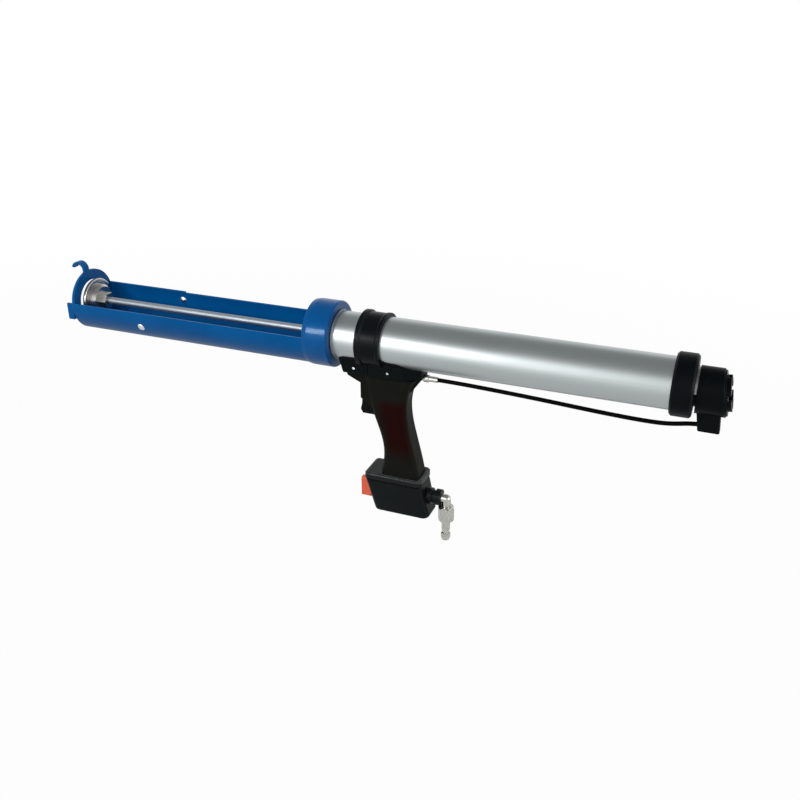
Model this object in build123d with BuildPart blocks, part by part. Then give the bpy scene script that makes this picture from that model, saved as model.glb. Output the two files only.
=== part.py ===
"""Pneumatic caulking tool: rod-driven sealant gun with an open cradle, air cylinder and pistol grip.

Frame: X runs along the barrel axis with the rear at +X, Z is up, and the origin is the centre of the
nozzle ring at the front of the cradle. All sizes are in millimetres.
"""

import os
from math import cos, pi, radians, sin, sqrt, tan

from build123d import *

os.makedirs("parts", exist_ok=True)

# Fits: radial clearances and face gaps
run_fit = 0.05
slip_fit = 0.03
free_gap = 0.3

# Barrel, the tube of the air cylinder
barrel_r = 26.0
barrel_wall = 2.0
barrel_length = 374.3

# Cradle: nozzle ring, half-pipe channel and turning collar
ring_thickness = 4.0
ring_bore_r = 23.0
ring_chamfer = 0.8
channel_r = 34.6
channel_wall = 1.8
channel_near_angle = 6.0
channel_far_angle = 16.5
channel_step_angle = 3.0
channel_step_x = 110.0
bay_length = 296.0
collar_wall = 1.4
collar_length = 29.0
collar_mouth_depth = 8.0
collar_lip = 0.5
collar_slope_length = 5.0
collar_rear_round = 2.0
hook_width = 8.0
hook_thickness = 3.0
hook_rise = 10.8
hook_curl_r = 9.0
hook_sweep = 165.0
hook_side_y = -4.5
side_lug_thickness = 3.0
side_lug_width = 19.0
side_lug_reach = 8.0
side_lug_z = -7.0
rivet_head_r = 4.6
rivet_head_height = 1.6
rivet_head_taper = 30.0
rivet_shank_r = 2.2
rivet_tail_r = 3.6
rivet_tail_height = 0.8
near_rivet_x = 90.0
near_rivet_angle = 204.0
far_rivet_x = 105.0
far_rivet_angle = 0.0

# Nose bush, which carries the collar and guides the rod
bush_flange_clearance = 2.8
bush_flange_thickness = 3.5
bush_length = 20.0
rod_r = 4.0
rod_seal_r = 7.0
rod_seal_width = 3.0
snap_ring_height = 1.0
snap_ring_width = 1.5

# Ram: plunger, rod and piston
plunger_gap = 3.5
plunger_clearance = 8.3
plunger_rim = 4.0
plunger_rim_round = 1.2
plunger_step_inset = 6.5
plunger_step_length = 7.5
plunger_step_taper = 2.5
plunger_hub_r = 9.5
plunger_hub_length = 8.0
rod_tip_inset = 1.0
piston_gap = 2.3
piston_length = 20.0
piston_groove_depth = 4.0
piston_groove_width = 4.0
piston_nut_r = 8.0
piston_nut_height = 6.0

# Rear cap, exhaust valve with its slanted face, and hose lug
cap_wall = 5.0
cap_lap = 5.5
cap_length = 20.5
cap_chamfer = 2.0
cap_spigot_length = 12.0
cap_seal_depth = 2.5
cap_seal_width = 3.0
port_r = 4.0
boss_r = 19.0
clip_r = 19.6
clip_bore_r = 15.0
clip_thickness = 2.2
exhaust_r = 20.8
exhaust_drop = 4.8
exhaust_length = 25.4
exhaust_slant = 9.0
exhaust_round = 1.2
exhaust_bore_r = 11.5
exhaust_bore_depth = 14.0
diaphragm_thickness = 2.0
cover_floor = 1.2
cover_ring_height = 4.2
cover_ring_r = 17.5
cover_ring_bore_r = 9.5
cover_notch = 7.0
cover_spigot_length = 6.0
vent_count = 6
vent_r = 1.4
vent_pitch_r = 6.0
cover_screw_count = 4
cover_screw_pitch_r = 14.8
cover_screw_r = 1.5
cover_screw_head_r = 2.7
cover_screw_head = 1.8
cover_screw_length = 11.0
cover_screw_socket_r = 1.5
cover_screw_socket_depth = 1.2
lug_top_inset = 6.8
lug_top_length = 23.1
lug_setback = 0.2
lug_bottom_setback = 4.8
lug_bottom_length = 20.5
lug_half = 7.5
lug_height = 28.4
lug_round = 2.5

# Clamp band round the barrel, with the T foot that the grip halves trap
band_wall = 3.2
band_setback = 23.5
band_width = 26.7
band_front_rim = 1.8
band_front_rim_width = 4.5
band_rear_rim = 0.8
band_rear_rim_width = 3.0
band_rim_step = 1.2
foot_neck_half = 4.0
foot_half = 7.0
foot_neck_depth = 5.7
foot_depth = 4.0
foot_length = 16.0

# Grip: saddle under the barrel, trigger housing and handle. A setback is measured from the saddle's front
# towards the rear, and a drop from the saddle's bottom downwards
saddle_gap = 5.5
saddle_depth = 10.0
saddle_half = 18.0
saddle_slant = 5.4
saddle_side_length = 73.5
saddle_length = 91.5
saddle_tail_half = 9.0
saddle_round = 2.0
pad_setback = 35.5
pad_length = 25.0
pad_height = 14.0
pad_rise = 8.0
pad_proud = 0.8
nose_half = 14.0
nose_setback = 6.5
nose_drop = 3.5
housing_half = 12.0
housing_setback = 22.5
housing_top_drop = 10.0
housing_low_drop = 29.0
tail_setback = 85.5
tail_drop = 6.5
tail_foot_setback = 78.5
tail_foot_drop = 16.0
handle_length = 116.6
handle_round = 9.0
handle_top_front = 25.1
handle_top_rear = 87.1
handle_top_half = 16.5
throat_drop = 27.0
throat_front = 31.1
throat_rear = 75.1
throat_half = 15.5
root_drop = 46.0
root_front = 36.6
root_rear = 74.8
root_half = 16.0
palm_drop = 78.0
palm_front = 47.4
palm_rear = 80.9
palm_half = 17.0
heel_drop = 96.0
heel_front = 48.5
heel_rear = 85.5
heel_half = 17.0
handle_foot_front = 45.6
handle_foot_rear = 90.1
handle_foot_half = 16.8
grip_wrap = 0.1
slot_half = 6.3
slot_setback = 44.3
slot_top_drop = 14.0
slot_low_drop = 57.0
slot_front_wall = 2.4
grip_screw_r = 1.5
grip_screw_head_r = 2.1
grip_screw_head = 2.2
grip_screw_recess = 0.4
grip_nut_r = 3.0
grip_nut_height = 2.4
grip_screw_rise = 6.0
front_screw_setback = 16.9
rear_screw_setback = 55.7

# Trigger and its valve
trigger_half = 6.0
trigger_pivot_setback = 30.5
trigger_pivot_drop = 20.0
trigger_eye_r = 5.0
trigger_pin_r = 1.5
trigger_pin_half = 11.0
trigger_back_depth = 6.3
trigger_face_top_setback = 20.9
trigger_face_top_drop = 32.0
trigger_face_low_setback = 19.3
trigger_face_low_drop = 45.0
trigger_face_r = 32.0
trigger_toe_drop = 50.0
trigger_toe_chamfer = 3.0
trigger_edge_round = 1.5
valve_drop = 34.0
valve_length = 22.0
valve_r = 6.0
valve_bore_r = 3.5
valve_guide = 3.0
spool_stem_r = 1.8
spool_gap = 1.0
spool_land = 8.0
spool_groove_depth = 1.1
spool_groove_width = 1.4
valve_plug_length = 3.0
valve_spring_r = 3.2
valve_spring_wall = 0.9

# Base under the grip: lid, gasket, regulator housing
lid_setback = 27.5
lid_length = 66.5
lid_half = 18.8
lid_thickness = 7.5
lid_round = 5.0
lid_chamfer = 1.6
gasket_thickness = 1.0
gasket_inset = 0.8
base_inset = 0.6
base_height = 38.9
base_lean = 10.0
base_foot_half = 17.0
base_foot_round = 8.0
base_edge_round = 2.5
base_screw_r = 1.5
base_screw_head_r = 2.8
base_screw_head = 2.0
base_screw_recess = 0.4
base_screw_reach = 10.0
base_screw_setback = 68.5
base_screw_spacing_x = 26.0
base_screw_spacing_y = 20.0
supply_tube_r = 3.0
supply_tube_bore_r = 2.0
supply_tube_setback = 61.5
supply_tube_dip = 4.0

# Regulator: knob, stem, spring and diaphragm
regulator_drop = 19.9
regulator_bore_r = 7.5
regulator_bore_setback = 70.5
knob_setback = 17.8
knob_blade_length = 11.7
knob_blade_height = 24.0
knob_blade_half = 4.0
knob_blade_round = 2.5
knob_skirt_length = 18.0
stem_r = 3.0
stem_reach = 8.0
stem_inset = 6.0
regulator_spring_r = 5.5
regulator_spring_wall = 1.8

# Air inlet: bush, swivel elbow, hex body and plug
inlet_drop = 16.4
inlet_setback = 97.7
inlet_spigot_r = 6.0
inlet_spigot_length = 14.0
inlet_flange_r = 9.2
inlet_flange_length = 5.0
inlet_groove_r = 7.2
inlet_groove_length = 4.5
inlet_lip_length = 6.0
elbow_bore_r = 4.5
elbow_spigot_length = 12.0
elbow_r = 5.0
plug_reach = 21.3
hex_height = 18.0
hex_r = 9.4
hex_chamfer = 1.6
plug_shank_r = 4.8
plug_shank_length = 12.0
plug_neck_r = 3.6
plug_neck_length = 3.5
plug_bulb_r = 5.4
plug_bulb_length = 6.0
plug_nose_r = 4.2
plug_nose_length = 3.5
plug_bore_r = 2.5

# Air hose from the saddle to the exhaust valve
hose_r = 2.25
hose_rise = 0.3
fitting_r = 3.1
fitting_setback = 78.5
fitting_reach = 15.0
fitting_nut_r = 4.2
fitting_nut_length = 5.0
hose_start_reach = 7.0
hose_port_height = 4.2
hose_port_depth = 6.0
collet_r = 3.3
collet_length = 3.0
hose_lead_in = 23.0
hose_lead_out = 12.0
hose_sags = ((0.227, 0.6), (0.429, 2.5), (0.631, 5.2), (0.782, 6.3), (0.876, 5.4))
bend_share = 0.45

# Stations along the barrel, worked out from the sizes above
barrel_bore_r = barrel_r - barrel_wall
channel_bore_r = channel_r - channel_wall
collar_r = channel_r + collar_wall
bush_flange_r = channel_bore_r - bush_flange_clearance
plunger_r = channel_bore_r - plunger_clearance
plunger_step_r = plunger_r - plunger_step_inset
cap_r = barrel_r + cap_wall
band_r = barrel_r + band_wall
ring_rear_x = ring_thickness / 2
collar_rear_x = bay_length + collar_length
shoulder_x = bay_length + collar_mouth_depth
flange_rear_x = shoulder_x - free_gap
flange_front_x = flange_rear_x - bush_flange_thickness
barrel_front_x = flange_rear_x
barrel_rear_x = barrel_front_x + barrel_length
bush_rear_x = flange_rear_x + bush_length
plunger_x = ring_rear_x + plunger_gap
plunger_step_x = plunger_x + plunger_rim
plunger_hub_x = plunger_step_x + plunger_step_length
piston_x = bush_rear_x + piston_gap
piston_end_x = piston_x + piston_length
rod_end_x = piston_end_x + piston_nut_height
cap_front_x = barrel_rear_x - cap_lap
cap_end_x = cap_front_x + cap_length
exhaust_x = cap_end_x + clip_thickness
exhaust_end_x = exhaust_x + exhaust_length
lug_bottom_x = exhaust_x + lug_bottom_setback
lug_top_x = exhaust_x + lug_setback
lug_top_z = lug_top_inset - exhaust_r
lug_bottom_z = lug_top_z - lug_height
hose_port_z = lug_bottom_z + hose_port_height
lug_face_x = lug_bottom_x - (lug_bottom_x - lug_top_x) * hose_port_height / lug_height

# Stations of the grip, the trigger and the valve
saddle_front_x = collar_rear_x + saddle_gap
saddle_bottom = -(barrel_r + saddle_depth)
saddle_top = -barrel_r * cos(pi / 4)
saddle_foot_x = saddle_front_x + saddle_slant
saddle_side_end_x = saddle_front_x + saddle_side_length
saddle_rear_x = saddle_front_x + saddle_length
band_front_x = saddle_front_x + band_setback
band_rear_x = band_front_x + band_width
foot_front_x = band_front_x + (band_width - foot_length) / 2
foot_neck_bottom = -(band_r + foot_neck_depth)
housing_front_x = saddle_front_x + housing_setback
housing_top_z = saddle_bottom - housing_top_drop
housing_low_z = saddle_bottom - housing_low_drop
lip_rear_x = housing_front_x + slot_front_wall
slot_rear_x = saddle_front_x + slot_setback
slot_top_z = saddle_bottom - slot_top_drop
slot_low_z = saddle_bottom - slot_low_drop
nose_x = saddle_front_x + nose_setback
nose_z = saddle_bottom - nose_drop
tail_foot_z = saddle_bottom - tail_foot_drop
grip_bottom = saddle_bottom - handle_length
screw_z = saddle_bottom + grip_screw_rise
screw_places = (
    (saddle_front_x + front_screw_setback, screw_z),
    (saddle_front_x + rear_screw_setback, screw_z),
)
pivot_x = saddle_front_x + trigger_pivot_setback
pivot_z = saddle_bottom - trigger_pivot_drop
trigger_back_x = pivot_x + trigger_back_depth
trigger_front_x = pivot_x - trigger_eye_r
trigger_face_low_z = saddle_bottom - trigger_face_low_drop
trigger_toe_z = saddle_bottom - trigger_toe_drop
valve_z = saddle_bottom - valve_drop
valve_front_x = slot_rear_x + free_gap
valve_rear_x = valve_front_x + valve_length
valve_plug_x = valve_rear_x - valve_plug_length
spool_front_x = valve_front_x + valve_guide + spool_gap
spool_rear_x = spool_front_x + spool_land

# Stations of the base, the regulator, the inlet and the hose
lid_front_x = saddle_front_x + lid_setback
lid_centre_x = lid_front_x + lid_length / 2
lid_bottom = grip_bottom - lid_thickness
base_top = lid_bottom - gasket_thickness
base_bottom = base_top - base_height
base_screw_x = saddle_front_x + base_screw_setback
supply_tube_x = saddle_front_x + supply_tube_setback
regulator_z = base_top - regulator_drop
regulator_end_x = saddle_front_x + regulator_bore_setback
knob_front_x = saddle_front_x + knob_setback
knob_skirt_x = knob_front_x + knob_blade_length
knob_end_x = knob_skirt_x + knob_skirt_length
stem_end_x = knob_end_x + stem_reach
inlet_z = base_top - inlet_drop
inlet_seat_x = saddle_front_x + inlet_setback
inlet_flange_end_x = inlet_seat_x + inlet_flange_length
inlet_lip_x = inlet_flange_end_x + inlet_groove_length
inlet_end_x = inlet_lip_x + inlet_lip_length
plug_x = inlet_seat_x + plug_reach
hex_top_z = inlet_z - inlet_flange_r - free_gap
hex_bottom_z = hex_top_z - hex_height
shank_bottom_z = hex_bottom_z - plug_shank_length
neck_bottom_z = shank_bottom_z - plug_neck_length
bulb_bottom_z = neck_bottom_z - plug_bulb_length
plug_tip_z = bulb_bottom_z - plug_nose_length
fitting_start_x = saddle_front_x + fitting_setback
fitting_end_x = saddle_rear_x + fitting_reach
hose_start_x = saddle_rear_x + hose_start_reach
hose_z = saddle_bottom + hose_rise


def side_view(z: float = 0.0, y: float = 0.0) -> Plane:
    """Side-view plane at y, with its x along the barrel and its y upwards from height z."""
    return Plane(origin=(0, y, z), x_dir=(1, 0, 0), z_dir=(0, -1, 0))


def cross_view(x: float, z: float = 0.0) -> Plane:
    """Plane square to the barrel at x, facing the rear: its x runs along Y, its y up from height z."""
    return Plane(origin=(x, 0, z), x_dir=(0, 1, 0), z_dir=(1, 0, 0))


def wall_view(x: float, angle: float, radius: float) -> Plane:
    """Plane that faces outwards from the barrel axis at x, at an angle from +Y towards +Z."""
    outwards = Vector(0, cos(radians(angle)), sin(radians(angle)))
    return Plane(origin=Vector(x, 0, 0) + outwards * radius, x_dir=(1, 0, 0), z_dir=outwards)


def exhaust_view(height: float = 0.0) -> Plane:
    """Plane of the exhaust valve's slanted rear face, lifted off it by height."""
    tilt = radians(exhaust_slant)
    outwards = Vector(cos(tilt), 0, sin(tilt))
    face_centre = Vector(exhaust_end_x, 0, -exhaust_drop / 2)
    return Plane(origin=face_centre + outwards * height, x_dir=(0, 1, 0), z_dir=outwards)


def along_x(z: float = 0.0) -> Axis:
    """Axis parallel to the barrel at height z."""
    return Axis((0, 0, z), (1, 0, 0))


def clip_outline(grow: float, mode: Mode) -> Sketch:
    """U clip seen along the barrel, open downwards, grown inwards by a clearance."""
    with BuildSketch(Plane.XY) as clip:
        Circle(clip_r)
        Circle(clip_bore_r - grow, mode=Mode.SUBTRACT)
        with Locations((0, -clip_r / 2 - grow)):
            Rectangle(2 * clip_r, clip_r, mode=Mode.SUBTRACT)
    return add(clip.sketch, mode=mode)


def band_outline(grow: float) -> list[tuple[float, float]]:
    """Half section of the clamp band from the barrel's surface outwards, grown by a clearance."""
    front_rim_r = band_r + band_front_rim + grow
    rear_rim_r = band_r + band_rear_rim + grow
    front_step_x = band_front_x + band_front_rim_width + grow
    rear_step_x = band_rear_x - band_rear_rim_width - grow
    return [
        (band_front_x - grow, barrel_r + slip_fit), (band_front_x - grow, front_rim_r),
        (front_step_x, front_rim_r), (front_step_x + band_rim_step, band_r + grow),
        (rear_step_x - band_rim_step, band_r + grow), (rear_step_x, rear_rim_r),
        (band_rear_x + grow, rear_rim_r), (band_rear_x + grow, barrel_r + slip_fit),
    ]


# Nozzle ring: a closed plate with a curled hook on top and a forward lug on its left side
with BuildPart() as front_ring:
    with BuildSketch(cross_view(-ring_thickness / 2)):
        Circle(channel_r)
        Circle(ring_bore_r, mode=Mode.SUBTRACT)
    extrude(amount=ring_thickness)
    front_edges = front_ring.edges().filter_by(GeomType.CIRCLE).group_by(Axis.X)[0]
    chamfer(front_edges.sort_by(SortBy.RADIUS)[-1], ring_chamfer)
    hook_bend_z = channel_r + hook_rise - hook_curl_r
    hook_root_z = channel_r - ring_thickness
    hook_rear_x = hook_thickness / 2
    curl_centre = (hook_rear_x - hook_curl_r, hook_bend_z)
    with BuildSketch(side_view(0, hook_side_y)):
        with BuildLine():
            outer_curl = CenterArc(curl_centre, hook_curl_r, 0, hook_sweep)
            inner_curl = CenterArc(curl_centre, hook_curl_r - hook_thickness, 0, hook_sweep)
            Line(outer_curl @ 1, inner_curl @ 1)
            Polyline(
                inner_curl @ 0, (hook_rear_x - hook_thickness, hook_root_z), (hook_rear_x, hook_root_z),
                outer_curl @ 0,
            )
        make_face()
    extrude(amount=hook_width / 2, both=True)
    with BuildSketch(cross_view(-ring_thickness / 2, side_lug_z)):
        with Locations((-channel_r + side_lug_thickness, 0)):
            Rectangle(side_lug_thickness, side_lug_width)
    extrude(amount=-side_lug_reach)
front_ring.part.label = "front_ring"
export_step(front_ring.part, "parts/front_ring.step")

# Cradle channel: a half pipe, open on top, whose far wall stands a little higher towards the front
with BuildPart() as cradle_channel:
    channel_end_x = shoulder_x - free_gap
    with BuildSketch(cross_view(ring_rear_x)):
        Circle(channel_r)
        Circle(channel_bore_r, mode=Mode.SUBTRACT)
    extrude(amount=channel_end_x - ring_rear_x)
    cut_r = 2 * channel_r
    near_cut_z = cut_r * tan(radians(channel_near_angle))
    for cut_start_x, cut_end_x, far_angle in (
        (ring_rear_x, channel_step_x, channel_far_angle + channel_step_angle),
        (channel_step_x, channel_end_x, channel_far_angle),
    ):
        far_cut_z = cut_r * tan(radians(far_angle))
        with BuildSketch(cross_view(cut_start_x)):
            with BuildLine():
                Polyline(
                    (-cut_r, near_cut_z), (0, 0), (cut_r, far_cut_z), (cut_r, cut_r), (-cut_r, cut_r),
                    close=True,
                )
            make_face()
        extrude(amount=cut_end_x - cut_start_x, mode=Mode.SUBTRACT)
    for rivet_x, rivet_angle in ((near_rivet_x, near_rivet_angle), (far_rivet_x, far_rivet_angle)):
        with BuildSketch(wall_view(rivet_x, rivet_angle, channel_bore_r - channel_wall)):
            Circle(rivet_shank_r + slip_fit)
        extrude(amount=4 * channel_wall, mode=Mode.SUBTRACT)
cradle_channel.part.label = "cradle_channel"
export_step(cradle_channel.part, "parts/cradle_channel.step")

# Collar: a turned bell with a sloping front that holds the channel in its mouth and turns on the barrel
with BuildPart() as cradle_collar:
    mouth_r = channel_r + slip_fit
    with BuildSketch(side_view()):
        with BuildLine():
            Polyline(
                (bay_length, mouth_r), (bay_length, mouth_r + collar_lip),
                (bay_length + collar_slope_length, collar_r), (collar_rear_x, collar_r),
                (collar_rear_x, barrel_r + run_fit), (shoulder_x, barrel_r + run_fit), (shoulder_x, mouth_r),
                close=True,
            )
        make_face()
    revolve(axis=Axis.X)
    collar_rims = cradle_collar.edges().filter_by(GeomType.CIRCLE).group_by(SortBy.RADIUS)[-1]
    fillet(collar_rims, collar_rear_round)
cradle_collar.part.label = "cradle_collar"
export_step(cradle_collar.part, "parts/cradle_collar.step")

# Rivets through the two walls of the channel, with a domed head outside and a flat tail inside
with BuildPart() as cradle_rivets:
    rivet_seat_r = sqrt(channel_bore_r**2 - rivet_tail_r**2) - slip_fit
    for rivet_x, rivet_angle in ((near_rivet_x, near_rivet_angle), (far_rivet_x, far_rivet_angle)):
        with BuildSketch(wall_view(rivet_x, rivet_angle, channel_r)):
            Circle(rivet_head_r)
        extrude(amount=rivet_head_height, taper=rivet_head_taper)
        with BuildSketch(wall_view(rivet_x, rivet_angle, rivet_seat_r)):
            Circle(rivet_shank_r)
        extrude(amount=channel_r - rivet_seat_r)
        with BuildSketch(wall_view(rivet_x, rivet_angle, rivet_seat_r)):
            Circle(rivet_tail_r)
        extrude(amount=-rivet_tail_height)
cradle_rivets.part.label = "cradle_rivets"
export_step(cradle_rivets.part, "parts/cradle_rivets.step")

# Barrel tube
with BuildPart() as barrel_tube:
    with BuildSketch(cross_view(barrel_front_x)):
        Circle(barrel_r)
        Circle(barrel_bore_r, mode=Mode.SUBTRACT)
    extrude(amount=barrel_length)
barrel_tube.part.label = "barrel_tube"
export_step(barrel_tube.part, "parts/barrel_tube.step")

# Nose bush: its flange keeps the collar on, its body plugs the barrel and its bore guides the rod
with BuildPart() as nose_bush:
    seal_x = flange_rear_x + bush_length / 2
    with BuildSketch(side_view()):
        with BuildLine():
            Polyline(
                (flange_front_x, rod_r + run_fit), (flange_front_x, bush_flange_r),
                (flange_rear_x, bush_flange_r), (flange_rear_x, barrel_bore_r - slip_fit),
                (bush_rear_x, barrel_bore_r - slip_fit), (bush_rear_x, rod_r + run_fit),
                (seal_x + rod_seal_width, rod_r + run_fit), (seal_x + rod_seal_width, rod_seal_r),
                (seal_x, rod_seal_r), (seal_x, rod_r + run_fit), close=True,
            )
        make_face()
    revolve(axis=Axis.X)
nose_bush.part.label = "nose_bush"
export_step(nose_bush.part, "parts/nose_bush.step")

# Rod seal in the nose bush
with BuildPart() as rod_seal:
    with BuildSketch(cross_view(seal_x)):
        Circle(rod_seal_r - slip_fit)
        Circle(rod_r + run_fit, mode=Mode.SUBTRACT)
    extrude(amount=rod_seal_width)
rod_seal.part.label = "rod_seal"
export_step(rod_seal.part, "parts/rod_seal.step")

# Snap ring on the barrel behind the collar
with BuildPart() as collar_snap_ring:
    with BuildSketch(cross_view(collar_rear_x + free_gap)):
        Circle(barrel_r + snap_ring_height)
        Circle(barrel_r + slip_fit, mode=Mode.SUBTRACT)
    extrude(amount=snap_ring_width)
    snap_ring_rims = collar_snap_ring.edges().filter_by(GeomType.CIRCLE).group_by(SortBy.RADIUS)[-1]
    chamfer(snap_ring_rims, snap_ring_height / 4)
collar_snap_ring.part.label = "collar_snap_ring"
export_step(collar_snap_ring.part, "parts/collar_snap_ring.step")

# Plunger plate: the wide rim that pushes the cartridge's piston
with BuildPart() as plunger_plate:
    with BuildSketch(cross_view(plunger_x)):
        Circle(plunger_r)
        Circle(rod_r + slip_fit, mode=Mode.SUBTRACT)
    extrude(amount=plunger_rim)
    fillet(plunger_plate.edges().filter_by(GeomType.CIRCLE).group_by(SortBy.RADIUS)[-1], plunger_rim_round)
plunger_plate.part.label = "plunger_plate"
export_step(plunger_plate.part, "parts/plunger_plate.step")

# Plunger cup: the tapered step behind the plate
with BuildPart() as plunger_cup:
    with BuildSketch(side_view()):
        with BuildLine():
            Polyline(
                (plunger_step_x, rod_r + slip_fit), (plunger_step_x, plunger_step_r),
                (plunger_step_x + plunger_step_length / 2, plunger_step_r),
                (plunger_hub_x, plunger_step_r - plunger_step_taper), (plunger_hub_x, rod_r + slip_fit),
                close=True,
            )
        make_face()
    revolve(axis=Axis.X)
plunger_cup.part.label = "plunger_cup"
export_step(plunger_cup.part, "parts/plunger_cup.step")

# Plunger nut on the rod
with BuildPart() as plunger_nut:
    with BuildSketch(cross_view(plunger_hub_x)):
        RegularPolygon(plunger_hub_r, 6)
        Circle(rod_r + slip_fit, mode=Mode.SUBTRACT)
    extrude(amount=plunger_hub_length)
plunger_nut.part.label = "plunger_nut"
export_step(plunger_nut.part, "parts/plunger_nut.step")

# Piston rod
with BuildPart() as piston_rod:
    with BuildSketch(cross_view(plunger_x + rod_tip_inset)):
        Circle(rod_r)
    extrude(amount=rod_end_x - plunger_x - rod_tip_inset)
piston_rod.part.label = "piston_rod"
export_step(piston_rod.part, "parts/piston_rod.step")

# Piston with the groove of its seal
with BuildPart() as piston:
    groove_x = piston_x + (piston_length - piston_groove_width) / 2
    piston_r = barrel_bore_r - run_fit
    piston_groove_r = piston_r - piston_groove_depth
    with BuildSketch(side_view()):
        with BuildLine():
            Polyline(
                (piston_x, rod_r + slip_fit), (piston_x, piston_r), (groove_x, piston_r),
                (groove_x, piston_groove_r), (groove_x + piston_groove_width, piston_groove_r),
                (groove_x + piston_groove_width, piston_r), (piston_end_x, piston_r),
                (piston_end_x, rod_r + slip_fit), close=True,
            )
        make_face()
    revolve(axis=Axis.X)
piston.part.label = "piston"
export_step(piston.part, "parts/piston.step")

# Piston seal
with BuildPart() as piston_seal:
    with BuildSketch(cross_view(groove_x)):
        Circle(piston_r)
        Circle(piston_groove_r + slip_fit, mode=Mode.SUBTRACT)
    extrude(amount=piston_groove_width)
piston_seal.part.label = "piston_seal"
export_step(piston_seal.part, "parts/piston_seal.step")

# Lock nut behind the piston
with BuildPart() as piston_nut:
    with BuildSketch(cross_view(piston_end_x)):
        RegularPolygon(piston_nut_r, 6)
        Circle(rod_r + slip_fit, mode=Mode.SUBTRACT)
    extrude(amount=piston_nut_height)
piston_nut.part.label = "piston_nut"
export_step(piston_nut.part, "parts/piston_nut.step")

# Rear cap: a cup over the barrel's end with a sealed spigot inside it and a grooved boss behind it
with BuildPart() as rear_cap:
    cap_spigot_r = barrel_bore_r - slip_fit
    cap_groove_r = cap_spigot_r - cap_seal_depth
    cap_spigot_x = barrel_rear_x - cap_spigot_length
    cap_seal_x = cap_spigot_x + cap_seal_width
    with BuildSketch(side_view()):
        with BuildLine():
            Polyline(
                (cap_spigot_x, port_r), (cap_spigot_x, cap_spigot_r), (cap_seal_x, cap_spigot_r),
                (cap_seal_x, cap_groove_r), (cap_seal_x + cap_seal_width, cap_groove_r),
                (cap_seal_x + cap_seal_width, cap_spigot_r), (barrel_rear_x, cap_spigot_r),
                (barrel_rear_x, barrel_r + slip_fit), (cap_front_x, barrel_r + slip_fit),
                (cap_front_x, cap_r), (cap_end_x, cap_r), (cap_end_x, port_r), close=True,
            )
        make_face()
    revolve(axis=Axis.X)
    chamfer(rear_cap.edges().filter_by(GeomType.CIRCLE).group_by(SortBy.RADIUS)[-1], cap_chamfer)
    with BuildSketch(cross_view(cap_end_x)):
        Circle(boss_r)
        Circle(port_r, mode=Mode.SUBTRACT)
        clip_outline(slip_fit, Mode.SUBTRACT)
    extrude(amount=clip_thickness)
rear_cap.part.label = "rear_cap"
export_step(rear_cap.part, "parts/rear_cap.step")

# Seal ring of the rear cap
with BuildPart() as cap_seal:
    with BuildSketch(cross_view(cap_seal_x)):
        Circle(cap_spigot_r)
        Circle(cap_groove_r + slip_fit, mode=Mode.SUBTRACT)
    extrude(amount=cap_seal_width)
cap_seal.part.label = "cap_seal"
export_step(cap_seal.part, "parts/cap_seal.step")

# Bright U clip that straddles the boss from above and keeps the exhaust valve on
with BuildPart() as exhaust_spacer:
    with BuildSketch(cross_view(cap_end_x)):
        clip_outline(0.0, Mode.ADD)
    extrude(amount=clip_thickness)
exhaust_spacer.part.label = "exhaust_spacer"
export_step(exhaust_spacer.part, "parts/exhaust_spacer.step")

# Exhaust valve housing: a deep rounded body with a slanted rear face and the lug block that takes the hose
with BuildPart() as exhaust_housing:
    with BuildSketch(cross_view(exhaust_x, -exhaust_drop / 2)):
        SlotCenterToCenter(exhaust_drop, 2 * exhaust_r, rotation=90)
    extrude(amount=2 * exhaust_length)
    split(bisect_by=exhaust_view(), keep=Keep.BOTTOM)
    fillet(exhaust_housing.faces().sort_by(Axis.X)[-1].edges(), exhaust_round)
    with BuildSketch(Plane.XY.offset(lug_bottom_z)):
        with Locations((lug_bottom_x + lug_bottom_length / 2, 0)):
            RectangleRounded(lug_bottom_length, 2 * lug_half, lug_round)
    with BuildSketch(Plane.XY.offset(lug_top_z)):
        with Locations((lug_top_x + lug_top_length / 2, 0)):
            RectangleRounded(lug_top_length, 2 * lug_half, lug_round)
    loft()
    with BuildSketch(exhaust_view()):
        Circle(exhaust_bore_r)
    extrude(amount=-exhaust_bore_depth, mode=Mode.SUBTRACT)
    with BuildSketch(cross_view(exhaust_x)):
        Circle(port_r)
    extrude(amount=exhaust_length - exhaust_bore_depth + port_r, mode=Mode.SUBTRACT)
    with BuildSketch(cross_view(lug_top_x, hose_port_z)):
        Circle(hose_r + run_fit)
    extrude(amount=lug_face_x - lug_top_x + collet_length + hose_port_depth, mode=Mode.SUBTRACT)
    with BuildSketch(cross_view(lug_top_x, hose_port_z)):
        Circle(collet_r + slip_fit)
    extrude(amount=lug_face_x - lug_top_x + collet_length, mode=Mode.SUBTRACT)
    with BuildSketch(exhaust_view()):
        with PolarLocations(cover_screw_pitch_r, cover_screw_count):
            Circle(cover_screw_r + slip_fit)
    extrude(amount=cover_floor - cover_screw_length, mode=Mode.SUBTRACT)
exhaust_housing.part.label = "exhaust_housing"
export_step(exhaust_housing.part, "parts/exhaust_housing.step")

# Collet that grips the hose in the lug block
with BuildPart() as hose_collet:
    with BuildSketch(cross_view(lug_face_x, hose_port_z)):
        Circle(collet_r)
        Circle(hose_r + run_fit, mode=Mode.SUBTRACT)
    extrude(amount=collet_length)
hose_collet.part.label = "hose_collet"
export_step(hose_collet.part, "parts/hose_collet.step")

# Exhaust diaphragm on the floor of the valve
with BuildPart() as exhaust_diaphragm:
    with BuildSketch(exhaust_view(-exhaust_bore_depth)):
        Circle(exhaust_bore_r - slip_fit)
    extrude(amount=diaphragm_thickness)
exhaust_diaphragm.part.label = "exhaust_diaphragm"
export_step(exhaust_diaphragm.part, "parts/exhaust_diaphragm.step")

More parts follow.
